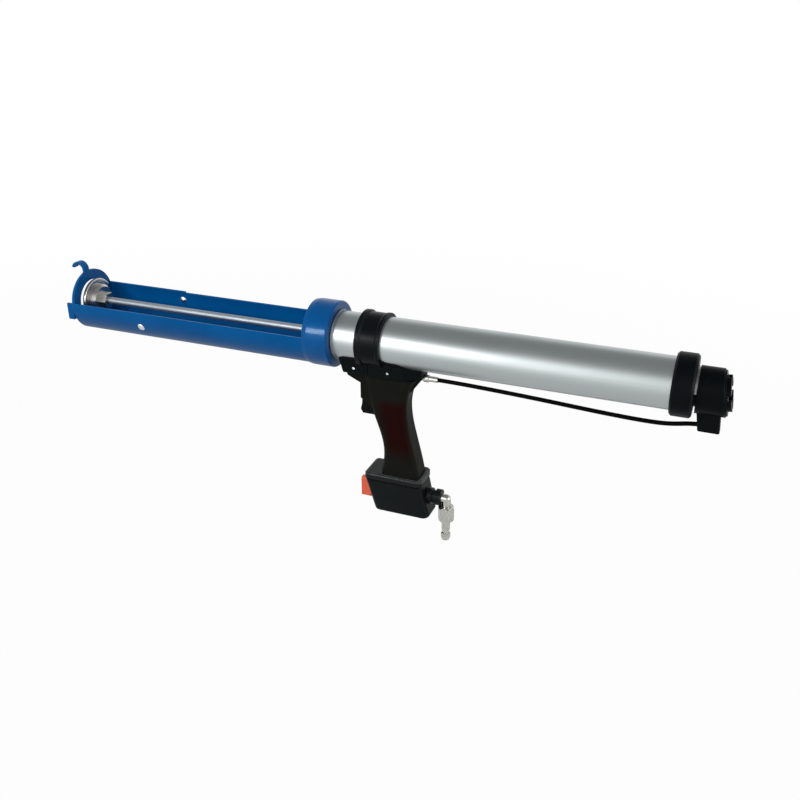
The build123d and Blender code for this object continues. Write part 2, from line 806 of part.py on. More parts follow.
# Exhaust cover: a plate with a castellated ring, vents in its middle and a spigot in the valve's bore
with BuildPart() as exhaust_cover:
    with BuildSketch(exhaust_view()):
        SlotCenterToCenter(exhaust_drop, 2 * (exhaust_r - exhaust_round), rotation=90)
    extrude(amount=cover_floor)
    with BuildSketch(exhaust_view(cover_floor)):
        Circle(cover_ring_r)
        Circle(cover_ring_bore_r, mode=Mode.SUBTRACT)
        Rectangle(2 * exhaust_r, cover_notch, mode=Mode.SUBTRACT)
        Rectangle(cover_notch, 2 * exhaust_r, mode=Mode.SUBTRACT)
    extrude(amount=cover_ring_height)
    with BuildSketch(exhaust_view()):
        Circle(exhaust_bore_r - slip_fit)
    extrude(amount=-cover_spigot_length)
    with BuildSketch(exhaust_view(cover_floor)):
        with PolarLocations(vent_pitch_r, vent_count):
            Circle(vent_r)
    extrude(amount=-(cover_floor + cover_spigot_length), mode=Mode.SUBTRACT)
    with BuildSketch(exhaust_view(cover_floor)):
        with PolarLocations(cover_screw_pitch_r, cover_screw_count):
            Circle(cover_screw_r + slip_fit)
    extrude(amount=-cover_floor, mode=Mode.SUBTRACT)
exhaust_cover.part.label = "exhaust_cover"
export_step(exhaust_cover.part, "parts/exhaust_cover.step")

# Socket-head screws in the notches of the exhaust cover
with BuildPart() as cover_screws:
    with BuildSketch(exhaust_view(cover_floor)):
        with PolarLocations(cover_screw_pitch_r, cover_screw_count):
            Circle(cover_screw_r)
    extrude(amount=-cover_screw_length)
    with BuildSketch(exhaust_view(cover_floor)):
        with PolarLocations(cover_screw_pitch_r, cover_screw_count):
            Circle(cover_screw_head_r)
    extrude(amount=cover_screw_head)
    with BuildSketch(exhaust_view(cover_floor + cover_screw_head)):
        with PolarLocations(cover_screw_pitch_r, cover_screw_count):
            RegularPolygon(cover_screw_socket_r, 6)
    extrude(amount=-cover_screw_socket_depth, mode=Mode.SUBTRACT)
cover_screws.part.label = "cover_screws"
export_step(cover_screws.part, "parts/cover_screws.step")

# Clamp band with a raised rim at either end and its T foot
with BuildPart() as clamp_band:
    with BuildSketch(side_view()):
        with BuildLine():
            Polyline(*band_outline(0.0), close=True)
        make_face()
    revolve(axis=Axis.X)
    foot_top = -(barrel_r + band_wall / 2)
    with BuildSketch(cross_view(foot_front_x)):
        with Locations((0, (foot_neck_bottom + foot_top) / 2)):
            Rectangle(2 * foot_neck_half, foot_top - foot_neck_bottom)
        with Locations((0, foot_neck_bottom - foot_depth / 2)):
            Rectangle(2 * foot_half, foot_depth)
    extrude(amount=foot_length)
clamp_band.part.label = "clamp_band"
export_step(clamp_band.part, "parts/clamp_band.step")

# Saddle of the grip: a block with a raked front that narrows to its tail
with BuildPart() as saddle_blank:
    with BuildSketch(Plane.XY.offset(saddle_bottom)):
        with BuildLine():
            Polyline(
                (saddle_front_x, -saddle_half), (saddle_side_end_x, -saddle_half),
                (saddle_rear_x, -saddle_tail_half), (saddle_rear_x, saddle_tail_half),
                (saddle_side_end_x, saddle_half), (saddle_front_x, saddle_half), close=True,
            )
        make_face()
    extrude(amount=saddle_top - saddle_bottom)
    with BuildSketch(side_view()):
        with BuildLine():
            Polyline(
                (saddle_front_x, saddle_top), (saddle_foot_x, saddle_bottom), (saddle_rear_x, saddle_bottom),
                (saddle_rear_x, saddle_top), close=True,
            )
        make_face()
    extrude(amount=saddle_half, both=True, mode=Mode.INTERSECT)
    fillet(saddle_blank.faces().sort_by(Axis.Z)[0].edges(), saddle_round)

# Whole grip before it is parted into its two halves
with BuildPart() as grip_blank:
    # Handle, lofted through rounded sections that follow the hand
    for section_drop, section_front, section_rear, section_half in (
        (0.0, handle_top_front, handle_top_rear, handle_top_half),
        (throat_drop, throat_front, throat_rear, throat_half),
        (root_drop, root_front, root_rear, root_half),
        (palm_drop, palm_front, palm_rear, palm_half),
        (heel_drop, heel_front, heel_rear, heel_half),
        (handle_length, handle_foot_front, handle_foot_rear, handle_foot_half),
    ):
        with BuildSketch(Plane.XY.offset(saddle_bottom - section_drop)):
            with Locations((saddle_front_x + (section_front + section_rear) / 2, 0)):
                RectangleRounded(section_rear - section_front, 2 * section_half, handle_round)
    loft()
    add(saddle_blank.part)
    # Front nose and rear tail, which run down into the handle
    inner_z = saddle_bottom + 2 * saddle_round
    with BuildSketch(side_view()):
        with BuildLine():
            Polyline(
                (saddle_foot_x + saddle_round, inner_z), (saddle_foot_x + saddle_round, saddle_bottom),
                (nose_x + saddle_round, nose_z), (housing_front_x, housing_top_z),
                (trigger_back_x, housing_top_z), (trigger_back_x, inner_z), close=True,
            )
        make_face()
    extrude(amount=nose_half, both=True)
    with BuildSketch(side_view()):
        with BuildLine():
            Polyline(
                (slot_rear_x, inner_z), (saddle_rear_x - saddle_round, inner_z),
                (saddle_rear_x - saddle_round, saddle_bottom),
                (saddle_front_x + tail_setback, saddle_bottom - tail_drop),
                (saddle_front_x + tail_foot_setback, tail_foot_z), (slot_rear_x, tail_foot_z), close=True,
            )
        make_face()
    extrude(amount=saddle_tail_half - saddle_round, both=True)
    # Trigger housing
    with BuildSketch(side_view()):
        with BuildLine():
            Polyline(
                (housing_front_x, nose_z), (housing_front_x, housing_low_z),
                (slot_rear_x, trigger_face_low_z), (slot_rear_x, nose_z), close=True,
            )
        make_face()
    extrude(amount=housing_half, both=True)
    # Raised side pads of the saddle
    with BuildSketch(side_view()):
        with Locations((saddle_front_x + pad_setback + pad_length / 2, saddle_bottom + pad_rise)):
            RectangleRounded(pad_length, pad_height, saddle_round)
    extrude(amount=saddle_half + pad_proud, both=True)
    # Room for the barrel, the band and its foot
    with BuildSketch(cross_view(saddle_front_x)):
        Circle(barrel_r + grip_wrap)
    extrude(amount=saddle_length, mode=Mode.SUBTRACT)
    with BuildSketch(side_view()):
        with BuildLine():
            Polyline(*band_outline(grip_wrap), close=True)
        make_face()
    revolve(axis=Axis.X, mode=Mode.SUBTRACT)
    with BuildSketch(cross_view(foot_front_x - grip_wrap)):
        with Locations((0, (foot_neck_bottom + foot_top) / 2)):
            Rectangle(2 * (foot_neck_half + grip_wrap), foot_top - foot_neck_bottom + 2 * grip_wrap)
        with Locations((0, foot_neck_bottom - foot_depth / 2)):
            Rectangle(2 * (foot_half + grip_wrap), foot_depth + 2 * grip_wrap)
    extrude(amount=foot_length + 2 * grip_wrap, mode=Mode.SUBTRACT)
    # Slot that the trigger swings in, open at the front below the housing's lip
    lip_z = housing_low_z - free_gap
    with BuildSketch(side_view()):
        with BuildLine():
            Polyline(
                (lip_rear_x, slot_top_z), (slot_rear_x, slot_top_z), (slot_rear_x, slot_low_z),
                (nose_x, slot_low_z), (nose_x, lip_z), (lip_rear_x, lip_z), close=True,
            )
        make_face()
    extrude(amount=slot_half, both=True, mode=Mode.SUBTRACT)
    # Bores for the valve, the trigger pin, the supply tube and the hose fitting
    with BuildSketch(cross_view(slot_rear_x, valve_z)):
        Circle(valve_r + slip_fit)
    extrude(amount=valve_rear_x - slot_rear_x, mode=Mode.SUBTRACT)
    with BuildSketch(side_view()):
        with Locations((pivot_x, pivot_z)):
            Circle(trigger_pin_r + slip_fit)
    extrude(amount=trigger_pin_half, both=True, mode=Mode.SUBTRACT)
    with BuildSketch(Plane.XY.offset(grip_bottom)):
        with Locations((supply_tube_x, 0)):
            Circle(supply_tube_r + slip_fit)
    extrude(amount=valve_z - grip_bottom, mode=Mode.SUBTRACT)
    with BuildSketch(cross_view(fitting_start_x, hose_z)):
        Circle(fitting_r + slip_fit)
    extrude(amount=saddle_rear_x - fitting_start_x, mode=Mode.SUBTRACT)
    # Holes for the cross screws with their head and nut pockets, and for the screws of the base
    with BuildSketch(side_view()):
        with Locations(*screw_places):
            Circle(grip_screw_r + slip_fit)
    extrude(amount=saddle_half + pad_proud, both=True, mode=Mode.SUBTRACT)
    with BuildSketch(side_view(0, -saddle_half - pad_proud)):
        with Locations(*screw_places):
            Circle(grip_screw_head_r + slip_fit)
    extrude(amount=-(grip_screw_head + grip_screw_recess + pad_proud), mode=Mode.SUBTRACT)
    with BuildSketch(side_view(0, saddle_half + pad_proud)):
        with Locations(*screw_places):
            RegularPolygon(grip_nut_r + slip_fit, 6)
    extrude(amount=grip_nut_height + grip_screw_recess + pad_proud, mode=Mode.SUBTRACT)
    with BuildSketch(Plane.XY.offset(grip_bottom)):
        with Locations((base_screw_x, 0)):
            with GridLocations(base_screw_spacing_x, base_screw_spacing_y, 2, 2):
                Circle(base_screw_r + slip_fit)
    extrude(amount=base_screw_reach, mode=Mode.SUBTRACT)

# The two halves of the grip, parted on the tool's middle plane
with BuildPart() as grip_left:
    add(grip_blank.part)
    split(bisect_by=Plane.XZ, keep=Keep.TOP)
grip_left.part.label = "grip_left"
export_step(grip_left.part, "parts/grip_left.step")

with BuildPart() as grip_right:
    add(grip_blank.part)
    split(bisect_by=Plane.XZ, keep=Keep.BOTTOM)
grip_right.part.label = "grip_right"
export_step(grip_right.part, "parts/grip_right.step")

# Cross screws that hold the grip halves together
with BuildPart() as grip_screws:
    head_y = -saddle_half + grip_screw_recess
    nut_y = saddle_half - grip_screw_recess
    with BuildSketch(side_view(0, head_y)):
        with Locations(*screw_places):
            Circle(grip_screw_head_r)
    extrude(amount=-grip_screw_head)
    with BuildSketch(side_view(0, head_y)):
        with Locations(*screw_places):
            Circle(grip_screw_r)
    extrude(amount=head_y - nut_y)
grip_screws.part.label = "grip_screws"
export_step(grip_screws.part, "parts/grip_screws.step")

# Nuts of the cross screws
with BuildPart() as grip_nuts:
    with BuildSketch(side_view(0, nut_y)):
        with Locations(*screw_places):
            RegularPolygon(grip_nut_r, 6)
        with Locations(*screw_places):
            Circle(grip_screw_r + slip_fit, mode=Mode.SUBTRACT)
    extrude(amount=grip_nut_height)
grip_nuts.part.label = "grip_nuts"
export_step(grip_nuts.part, "parts/grip_nuts.step")

# Trigger lever with a hollowed finger face
with BuildPart() as trigger:
    face_top = (saddle_front_x + trigger_face_top_setback, saddle_bottom - trigger_face_top_drop)
    face_low = (saddle_front_x + trigger_face_low_setback, trigger_face_low_z)
    with BuildSketch(side_view()):
        with BuildLine():
            RadiusArc(face_top, face_low, trigger_face_r)
            Polyline(
                face_low, (face_low[0] + trigger_toe_chamfer, trigger_toe_z), (trigger_back_x, trigger_toe_z),
                (trigger_back_x, pivot_z), (trigger_front_x, pivot_z),
                (trigger_front_x, housing_low_z - 2 * free_gap), face_top,
            )
        make_face()
        with Locations((pivot_x, pivot_z)):
            Circle(trigger_eye_r)
            Circle(trigger_pin_r + run_fit, mode=Mode.SUBTRACT)
    extrude(amount=trigger_half, both=True)
    fillet(trigger.faces().sort_by(Axis.X)[0].edges().filter_by(Axis.Y, reverse=True), trigger_edge_round)
trigger.part.label = "trigger"
export_step(trigger.part, "parts/trigger.step")

# Trigger pin
with BuildPart() as trigger_pin:
    with BuildSketch(side_view()):
        with Locations((pivot_x, pivot_z)):
            Circle(trigger_pin_r)
    extrude(amount=trigger_pin_half - free_gap, both=True)
trigger_pin.part.label = "trigger_pin"
export_step(trigger_pin.part, "parts/trigger_pin.step")

# Valve body with a stepped bore
with BuildPart() as valve_body:
    with BuildSketch(cross_view(valve_front_x, valve_z)):
        Circle(valve_r)
        Circle(spool_stem_r + run_fit, mode=Mode.SUBTRACT)
    extrude(amount=valve_length)
    with BuildSketch(cross_view(valve_front_x + valve_guide, valve_z)):
        Circle(valve_bore_r)
    extrude(amount=valve_length, mode=Mode.SUBTRACT)
valve_body.part.label = "valve_body"
export_step(valve_body.part, "parts/valve_body.step")

# Valve spool: the stem that the trigger pushes, and its grooved land
with BuildPart() as valve_spool:
    spool_r = valve_bore_r - run_fit
    spool_groove_r = spool_r - spool_groove_depth
    spool_groove_xs = (spool_front_x + spool_groove_width, spool_rear_x - 2 * spool_groove_width)
    with BuildSketch(cross_view(trigger_back_x + free_gap, valve_z)):
        Circle(spool_stem_r)
    extrude(amount=spool_front_x - trigger_back_x - free_gap)
    with BuildSketch(cross_view(spool_front_x, valve_z)):
        Circle(spool_r)
    extrude(amount=spool_land)
    for spool_groove_x in spool_groove_xs:
        with BuildSketch(cross_view(spool_groove_x, valve_z)):
            Circle(valve_r)
            Circle(spool_groove_r, mode=Mode.SUBTRACT)
        extrude(amount=spool_groove_width, mode=Mode.SUBTRACT)
valve_spool.part.label = "valve_spool"
export_step(valve_spool.part, "parts/valve_spool.step")

# Seal rings of the spool
with BuildPart() as spool_seals:
    for spool_groove_x in spool_groove_xs:
        with BuildSketch(cross_view(spool_groove_x, valve_z)):
            Circle(spool_r)
            Circle(spool_groove_r + slip_fit, mode=Mode.SUBTRACT)
        extrude(amount=spool_groove_width)
spool_seals.part.label = "spool_seals"
export_step(spool_seals.part, "parts/spool_seals.step")

# Return spring of the valve, drawn as the sleeve that its turns fill
with BuildPart() as valve_spring:
    with BuildSketch(cross_view(spool_rear_x, valve_z)):
        Circle(valve_spring_r)
        Circle(valve_spring_r - valve_spring_wall, mode=Mode.SUBTRACT)
    extrude(amount=valve_plug_x - spool_rear_x)
valve_spring.part.label = "valve_spring"
export_step(valve_spring.part, "parts/valve_spring.step")

# Plug that closes the valve
with BuildPart() as valve_plug:
    with BuildSketch(cross_view(valve_plug_x, valve_z)):
        Circle(valve_bore_r - slip_fit)
    extrude(amount=valve_plug_length)
valve_plug.part.label = "valve_plug"
export_step(valve_plug.part, "parts/valve_plug.step")

# Supply tube from the base up to the valve
with BuildPart() as supply_tube:
    with BuildSketch(Plane.XY.offset(base_top - supply_tube_dip)):
        with Locations((supply_tube_x, 0)):
            Circle(supply_tube_r)
            Circle(supply_tube_bore_r, mode=Mode.SUBTRACT)
    extrude(amount=valve_z - valve_r - free_gap - base_top + supply_tube_dip)
supply_tube.part.label = "supply_tube"
export_step(supply_tube.part, "parts/supply_tube.step")

# Base lid under the grip
with BuildPart() as base_lid:
    with BuildSketch(Plane.XY.offset(lid_bottom)):
        with Locations((lid_centre_x, 0)):
            RectangleRounded(lid_length, 2 * lid_half, lid_round)
    extrude(amount=lid_thickness)
    chamfer(base_lid.faces().sort_by(Axis.Z)[-1].edges(), lid_chamfer)
    with BuildSketch(Plane.XY.offset(lid_bottom)):
        with Locations((supply_tube_x, 0)):
            Circle(supply_tube_r + slip_fit)
        with Locations((base_screw_x, 0)):
            with GridLocations(base_screw_spacing_x, base_screw_spacing_y, 2, 2):
                Circle(base_screw_r + slip_fit)
    extrude(amount=lid_thickness, mode=Mode.SUBTRACT)
base_lid.part.label = "base_lid"
export_step(base_lid.part, "parts/base_lid.step")

# Gasket between the lid and the regulator housing
with BuildPart() as base_gasket:
    with BuildSketch(Plane.XY.offset(base_top)):
        with Locations((lid_centre_x, 0)):
            RectangleRounded(lid_length - 2 * gasket_inset, 2 * (lid_half - gasket_inset), lid_round)
        with Locations((supply_tube_x, 0)):
            Circle(supply_tube_r + slip_fit, mode=Mode.SUBTRACT)
        with Locations((base_screw_x, 0)):
            with GridLocations(base_screw_spacing_x, base_screw_spacing_y, 2, 2):
                Circle(base_screw_r + slip_fit, mode=Mode.SUBTRACT)
    extrude(amount=gasket_thickness)
base_gasket.part.label = "base_gasket"
export_step(base_gasket.part, "parts/base_gasket.step")

# Regulator housing: a leaning box that narrows towards its foot
with BuildPart() as base_housing:
    with BuildSketch(Plane.XY.offset(base_top)):
        with Locations((lid_centre_x, 0)):
            RectangleRounded(lid_length - 2 * base_inset, 2 * (lid_half - base_inset), lid_round)
    with BuildSketch(Plane.XY.offset(base_bottom)):
        with Locations((lid_centre_x + base_lean, 0)):
            RectangleRounded(lid_length - 2 * base_inset, 2 * base_foot_half, base_foot_round)
    loft()
    fillet(base_housing.faces().sort_by(Axis.Z)[0].edges(), base_edge_round)
    with BuildSketch(cross_view(lid_front_x - lid_round, regulator_z)):
        Circle(regulator_bore_r)
    extrude(amount=regulator_end_x - lid_front_x + lid_round, mode=Mode.SUBTRACT)
    with BuildSketch(cross_view(inlet_seat_x, inlet_z)):
        Circle(inlet_flange_r + slip_fit)
    extrude(amount=base_lean, mode=Mode.SUBTRACT)
    with BuildSketch(cross_view(inlet_seat_x, inlet_z)):
        Circle(inlet_spigot_r + slip_fit)
    extrude(amount=-inlet_spigot_length, mode=Mode.SUBTRACT)
    with BuildSketch(Plane.XY.offset(base_top)):
        with Locations((supply_tube_x, 0)):
            Circle(supply_tube_r + slip_fit)
    extrude(amount=regulator_z - base_top, mode=Mode.SUBTRACT)
    with BuildSketch(Plane.XY.offset(base_bottom)):
        with Locations((base_screw_x, 0)):
            with GridLocations(base_screw_spacing_x, base_screw_spacing_y, 2, 2):
                Circle(base_screw_r + slip_fit)
    extrude(amount=base_top - base_bottom, mode=Mode.SUBTRACT)
    with BuildSketch(Plane.XY.offset(base_bottom)):
        with Locations((base_screw_x, 0)):
            with GridLocations(base_screw_spacing_x, base_screw_spacing_y, 2, 2):
                Circle(base_screw_head_r + slip_fit)
    extrude(amount=base_screw_head + base_screw_recess, mode=Mode.SUBTRACT)
base_housing.part.label = "base_housing"
export_step(base_housing.part, "parts/base_housing.step")

# Screws that hold the base to the grip
with BuildPart() as base_screws:
    screw_seat_z = base_bottom + base_screw_recess
    with BuildSketch(Plane.XY.offset(screw_seat_z)):
        with Locations((base_screw_x, 0)):
            with GridLocations(base_screw_spacing_x, base_screw_spacing_y, 2, 2):
                Circle(base_screw_head_r)
    extrude(amount=base_screw_head)
    with BuildSketch(Plane.XY.offset(screw_seat_z)):
        with Locations((base_screw_x, 0)):
            with GridLocations(base_screw_spacing_x, base_screw_spacing_y, 2, 2):
                Circle(base_screw_r)
    extrude(amount=grip_bottom + base_screw_reach - free_gap - screw_seat_z)
base_screws.part.label = "base_screws"
export_step(base_screws.part, "parts/base_screws.step")

# Regulator knob: a finger blade on a round skirt that turns in the housing
with BuildPart() as regulator_knob:
    with BuildSketch(side_view(regulator_z)):
        with Locations(((knob_front_x + knob_skirt_x) / 2, 0)):
            Rectangle(knob_blade_length, knob_blade_height)
    extrude(amount=knob_blade_half, both=True)
    fillet(regulator_knob.edges().filter_by(Axis.X), knob_blade_round)
    with BuildSketch(cross_view(knob_skirt_x, regulator_z)):
        Circle(regulator_bore_r - run_fit)
    extrude(amount=knob_skirt_length)
    with BuildSketch(cross_view(knob_end_x, regulator_z)):
        Circle(stem_r + slip_fit)
    extrude(amount=-stem_inset, mode=Mode.SUBTRACT)
regulator_knob.part.label = "regulator_knob"
export_step(regulator_knob.part, "parts/regulator_knob.step")

# Regulator stem, fixed in the knob
with BuildPart() as regulator_stem:
    with BuildSketch(cross_view(knob_end_x - stem_inset, regulator_z)):
        Circle(stem_r)
    extrude(amount=stem_reach + stem_inset)
regulator_stem.part.label = "regulator_stem"
export_step(regulator_stem.part, "parts/regulator_stem.step")

# Regulator diaphragm at the end of the bore
with BuildPart() as regulator_diaphragm:
    with BuildSketch(cross_view(regulator_end_x - diaphragm_thickness, regulator_z)):
        Circle(regulator_bore_r - slip_fit)
    extrude(amount=diaphragm_thickness)
regulator_diaphragm.part.label = "regulator_diaphragm"
export_step(regulator_diaphragm.part, "parts/regulator_diaphragm.step")

# Regulator spring, drawn as the sleeve that its turns fill
with BuildPart() as regulator_spring:
    with BuildSketch(cross_view(stem_end_x + free_gap, regulator_z)):
        Circle(regulator_spring_r)
        Circle(regulator_spring_r - regulator_spring_wall, mode=Mode.SUBTRACT)
    extrude(amount=regulator_end_x - diaphragm_thickness - stem_end_x - free_gap)
regulator_spring.part.label = "regulator_spring"
export_step(regulator_spring.part, "parts/regulator_spring.step")

# Inlet bush with a grooved neck
with BuildPart() as inlet_bush:
    with BuildSketch(side_view(inlet_z)):
        with BuildLine():
            Polyline(
                (inlet_seat_x - inlet_spigot_length, elbow_bore_r),
                (inlet_seat_x - inlet_spigot_length, inlet_spigot_r), (inlet_seat_x, inlet_spigot_r),
                (inlet_seat_x, inlet_flange_r), (inlet_flange_end_x, inlet_flange_r),
                (inlet_flange_end_x, inlet_groove_r), (inlet_lip_x, inlet_groove_r),
                (inlet_lip_x, inlet_flange_r), (inlet_end_x, inlet_flange_r), (inlet_end_x, elbow_bore_r),
                close=True,
            )
        make_face()
    revolve(axis=along_x(inlet_z))
inlet_bush.part.label = "inlet_bush"
export_step(inlet_bush.part, "parts/inlet_bush.step")

# Swivel elbow of the inlet
with BuildPart() as inlet_elbow:
    with BuildSketch(cross_view(inlet_end_x - elbow_spigot_length, inlet_z)):
        Circle(elbow_bore_r - run_fit)
    extrude(amount=elbow_spigot_length + free_gap)
    with BuildSketch(cross_view(inlet_end_x + free_gap, inlet_z)):
        Circle(elbow_r)
    extrude(amount=plug_x - inlet_end_x - free_gap)
    with Locations((plug_x, 0, inlet_z)):
        Sphere(elbow_r)
    with BuildSketch(Plane.XY.offset(hex_top_z)):
        with Locations((plug_x, 0)):
            Circle(elbow_r)
    extrude(amount=inlet_z - hex_top_z)
inlet_elbow.part.label = "inlet_elbow"
export_step(inlet_elbow.part, "parts/inlet_elbow.step")

# Hex body of the inlet
with BuildPart() as inlet_hex:
    with BuildSketch(Plane.XY.offset(hex_bottom_z)):
        with Locations((plug_x, 0)):
            RegularPolygon(hex_r, 6)
    extrude(amount=hex_height)
    with BuildSketch(Plane(origin=(plug_x, 0, 0), x_dir=(1, 0, 0), z_dir=(0, -1, 0))):
        with BuildLine():
            Polyline(
                (0, hex_bottom_z), (hex_r - hex_chamfer, hex_bottom_z),
                (hex_r, hex_bottom_z + hex_chamfer), (hex_r, hex_top_z - hex_chamfer),
                (hex_r - hex_chamfer, hex_top_z), (0, hex_top_z), close=True,
            )
        make_face()
    revolve(axis=Axis((plug_x, 0, 0), (0, 0, 1)), mode=Mode.INTERSECT)
inlet_hex.part.label = "inlet_hex"
export_step(inlet_hex.part, "parts/inlet_hex.step")

# Quick-connect plug that hangs from the hex body
with BuildPart() as inlet_plug:
    with BuildSketch(Plane(origin=(plug_x, 0, 0), x_dir=(1, 0, 0), z_dir=(0, -1, 0))):
        with BuildLine():
            Polyline(
                (plug_bore_r, hex_bottom_z), (plug_shank_r, hex_bottom_z), (plug_shank_r, shank_bottom_z),
                (plug_neck_r, shank_bottom_z - (plug_shank_r - plug_neck_r)),
                (plug_neck_r, neck_bottom_z),
                (plug_bulb_r, neck_bottom_z - (plug_bulb_r - plug_neck_r) / 2),
                (plug_bulb_r, bulb_bottom_z), (plug_nose_r, plug_tip_z), (plug_bore_r, plug_tip_z),
                close=True,
            )
        make_face()
    revolve(axis=Axis((plug_x, 0, 0), (0, 0, 1)))
inlet_plug.part.label = "inlet_plug"
export_step(inlet_plug.part, "parts/inlet_plug.step")

# Hose fitting in the saddle's tail
with BuildPart() as hose_fitting:
    with BuildSketch(side_view(hose_z)):
        with BuildLine():
            Polyline(
                (fitting_start_x, 0), (fitting_start_x, fitting_r), (saddle_rear_x, fitting_r),
                (saddle_rear_x, fitting_nut_r), (saddle_rear_x + fitting_nut_length, fitting_nut_r),
                (saddle_rear_x + fitting_nut_length, fitting_r), (fitting_end_x, fitting_r),
                (fitting_end_x, hose_r + run_fit), (hose_start_x, hose_r + run_fit), (hose_start_x, 0),
                close=True,
            )
        make_face()
    revolve(axis=along_x(hose_z))
hose_fitting.part.label = "hose_fitting"
export_step(hose_fitting.part, "parts/hose_fitting.step")

# Air hose along its real route, straight runs joined by wide arcs
hose_end_x = lug_face_x + collet_length + hose_port_depth - free_gap
hose_run_x = hose_end_x - hose_start_x
hose_drop = hose_port_z - hose_z
hose_points = [(hose_start_x, hose_z), (hose_start_x + hose_lead_in, hose_z)]
for share, sag in hose_sags:
    hose_points.append((hose_start_x + share * hose_run_x, hose_z + share * hose_drop - sag))
hose_points.append((hose_end_x - hose_lead_out, hose_port_z))
hose_points.append((hose_end_x, hose_port_z))
hose_radii = []
for before, here, after in zip(hose_points, hose_points[1:], hose_points[2:]):
    run_in = Vector(*here) - Vector(*before)
    run_out = Vector(*after) - Vector(*here)
    half_turn = radians(run_in.get_angle(run_out)) / 2
    hose_radii.append(bend_share * min(run_in.length, run_out.length) / tan(half_turn))
print("hose bend radii", [round(radius) for radius in hose_radii])
with BuildPart() as air_hose:
    with BuildLine(side_view()) as hose_line:
        FilletPolyline(*hose_points, radius=hose_radii)
    with BuildSketch(cross_view(hose_start_x, hose_z)):
        Circle(hose_r)
    sweep()
hose_length = sum(edge.length for edge in hose_line.edges())
print("hose length", round(hose_length, 1), "volume", round(air_hose.part.volume))
print("hose section times length", round(pi * hose_r**2 * hose_length))
air_hose.part.label = "air_hose"
export_step(air_hose.part, "parts/air_hose.step")
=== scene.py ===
"""Looks of a pneumatic caulking tool: finishes, fasteners, air hose, studio light and camera.

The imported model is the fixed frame. Every piece here is in metres, in the model's own frame: X along the
barrel towards the rear, Z up, the origin at the centre of the nozzle ring.
"""

import logging
from dataclasses import dataclass, fields
from enum import Enum
from math import cos, pi, radians, sin
from typing import Union

import bmesh
import bpy
from mathutils import Euler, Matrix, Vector


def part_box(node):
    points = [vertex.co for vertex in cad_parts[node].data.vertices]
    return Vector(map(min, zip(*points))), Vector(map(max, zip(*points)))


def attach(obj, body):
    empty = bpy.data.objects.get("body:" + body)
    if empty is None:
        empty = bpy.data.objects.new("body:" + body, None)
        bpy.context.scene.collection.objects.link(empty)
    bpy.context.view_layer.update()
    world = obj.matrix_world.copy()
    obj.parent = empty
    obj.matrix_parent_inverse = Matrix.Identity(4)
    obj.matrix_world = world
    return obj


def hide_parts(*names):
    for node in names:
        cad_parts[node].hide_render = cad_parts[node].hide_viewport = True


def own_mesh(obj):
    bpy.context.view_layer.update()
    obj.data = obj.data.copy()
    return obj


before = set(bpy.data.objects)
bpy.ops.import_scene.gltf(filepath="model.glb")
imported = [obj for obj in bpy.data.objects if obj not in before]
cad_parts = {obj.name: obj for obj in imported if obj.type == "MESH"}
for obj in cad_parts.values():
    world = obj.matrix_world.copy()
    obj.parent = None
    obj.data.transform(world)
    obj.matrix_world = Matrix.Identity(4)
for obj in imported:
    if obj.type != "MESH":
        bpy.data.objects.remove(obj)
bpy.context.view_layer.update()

LOG = logging.getLogger("caulking_tool")

Triple = tuple[float, float, float]
Ring = list[Triple]
Number = Union[float, "Wire"]
Key = Union[str, int]

MM = 0.001
WHITE: Triple = (1.0, 1.0, 1.0)
EVEN: Triple = (1.0, 1.0, 1.0)


class Slot(Enum):
    """Material slots of the record."""

    ZINC = "zinc"
    STEEL = "steel"
    BLACK = "black_plastic"
    RUBBER = "rubber"


class Recess(Enum):
    """What is sunk in the head of a fastener."""

    PLAIN = "plain"
    CROSS = "cross"
    HEX = "hex"


class Wire:
    """One output socket of a node tree, with the arithmetic that adds Math nodes."""

    def __init__(self, sheet: "NodeSheet", socket: bpy.types.NodeSocket) -> None:
        """Keep an output socket and the tree that it is in."""
        self.sheet = sheet
        self.socket = socket

    def _math(self, operation: str, first: Number, second: Number) -> "Wire":
        """Result of one Math node."""
        return self.sheet.node("ShaderNodeMath", {0: first, 1: second}, operation=operation)

    def __add__(self, other: Number) -> "Wire":
        """Sum."""
        return self._math("ADD", self, other)

    def __radd__(self, other: Number) -> "Wire":
        """Sum with the number first."""
        return self._math("ADD", other, self)

    def __sub__(self, other: Number) -> "Wire":
        """Difference."""
        return self._math("SUBTRACT", self, other)

    def __rsub__(self, other: Number) -> "Wire":
        """Difference with the number first."""
        return self._math("SUBTRACT", other, self)

    def __mul__(self, other: Number) -> "Wire":
        """Product."""
        return self._math("MULTIPLY", self, other)

    def __rmul__(self, other: Number) -> "Wire":
        """Product with the number first."""
        return self._math("MULTIPLY", other, self)

    def __pow__(self, other: Number) -> "Wire":
        """Power."""
        return self._math("POWER", self, other)

    def __rpow__(self, other: Number) -> "Wire":
        """Power of a number."""
        return self._math("POWER", other, self)

    def __abs__(self) -> "Wire":
        """Absolute value."""
        return self._math("ABSOLUTE", self, 0.0)

    def ramp(self, low: float, high: float, start: float = 0.0, end: float = 1.0) -> "Wire":
        """Smooth step of this value, from the start level below low to the end level above high."""
        sockets = {0: self, 1: low, 2: high, 3: start, 4: end}
        return self.sheet.node("ShaderNodeMapRange", sockets, interpolation_type="SMOOTHSTEP")

    def sibling(self, output: Key) -> "Wire":
        """Another output of the same node."""
        return Wire(self.sheet, self.socket.node.outputs[output])


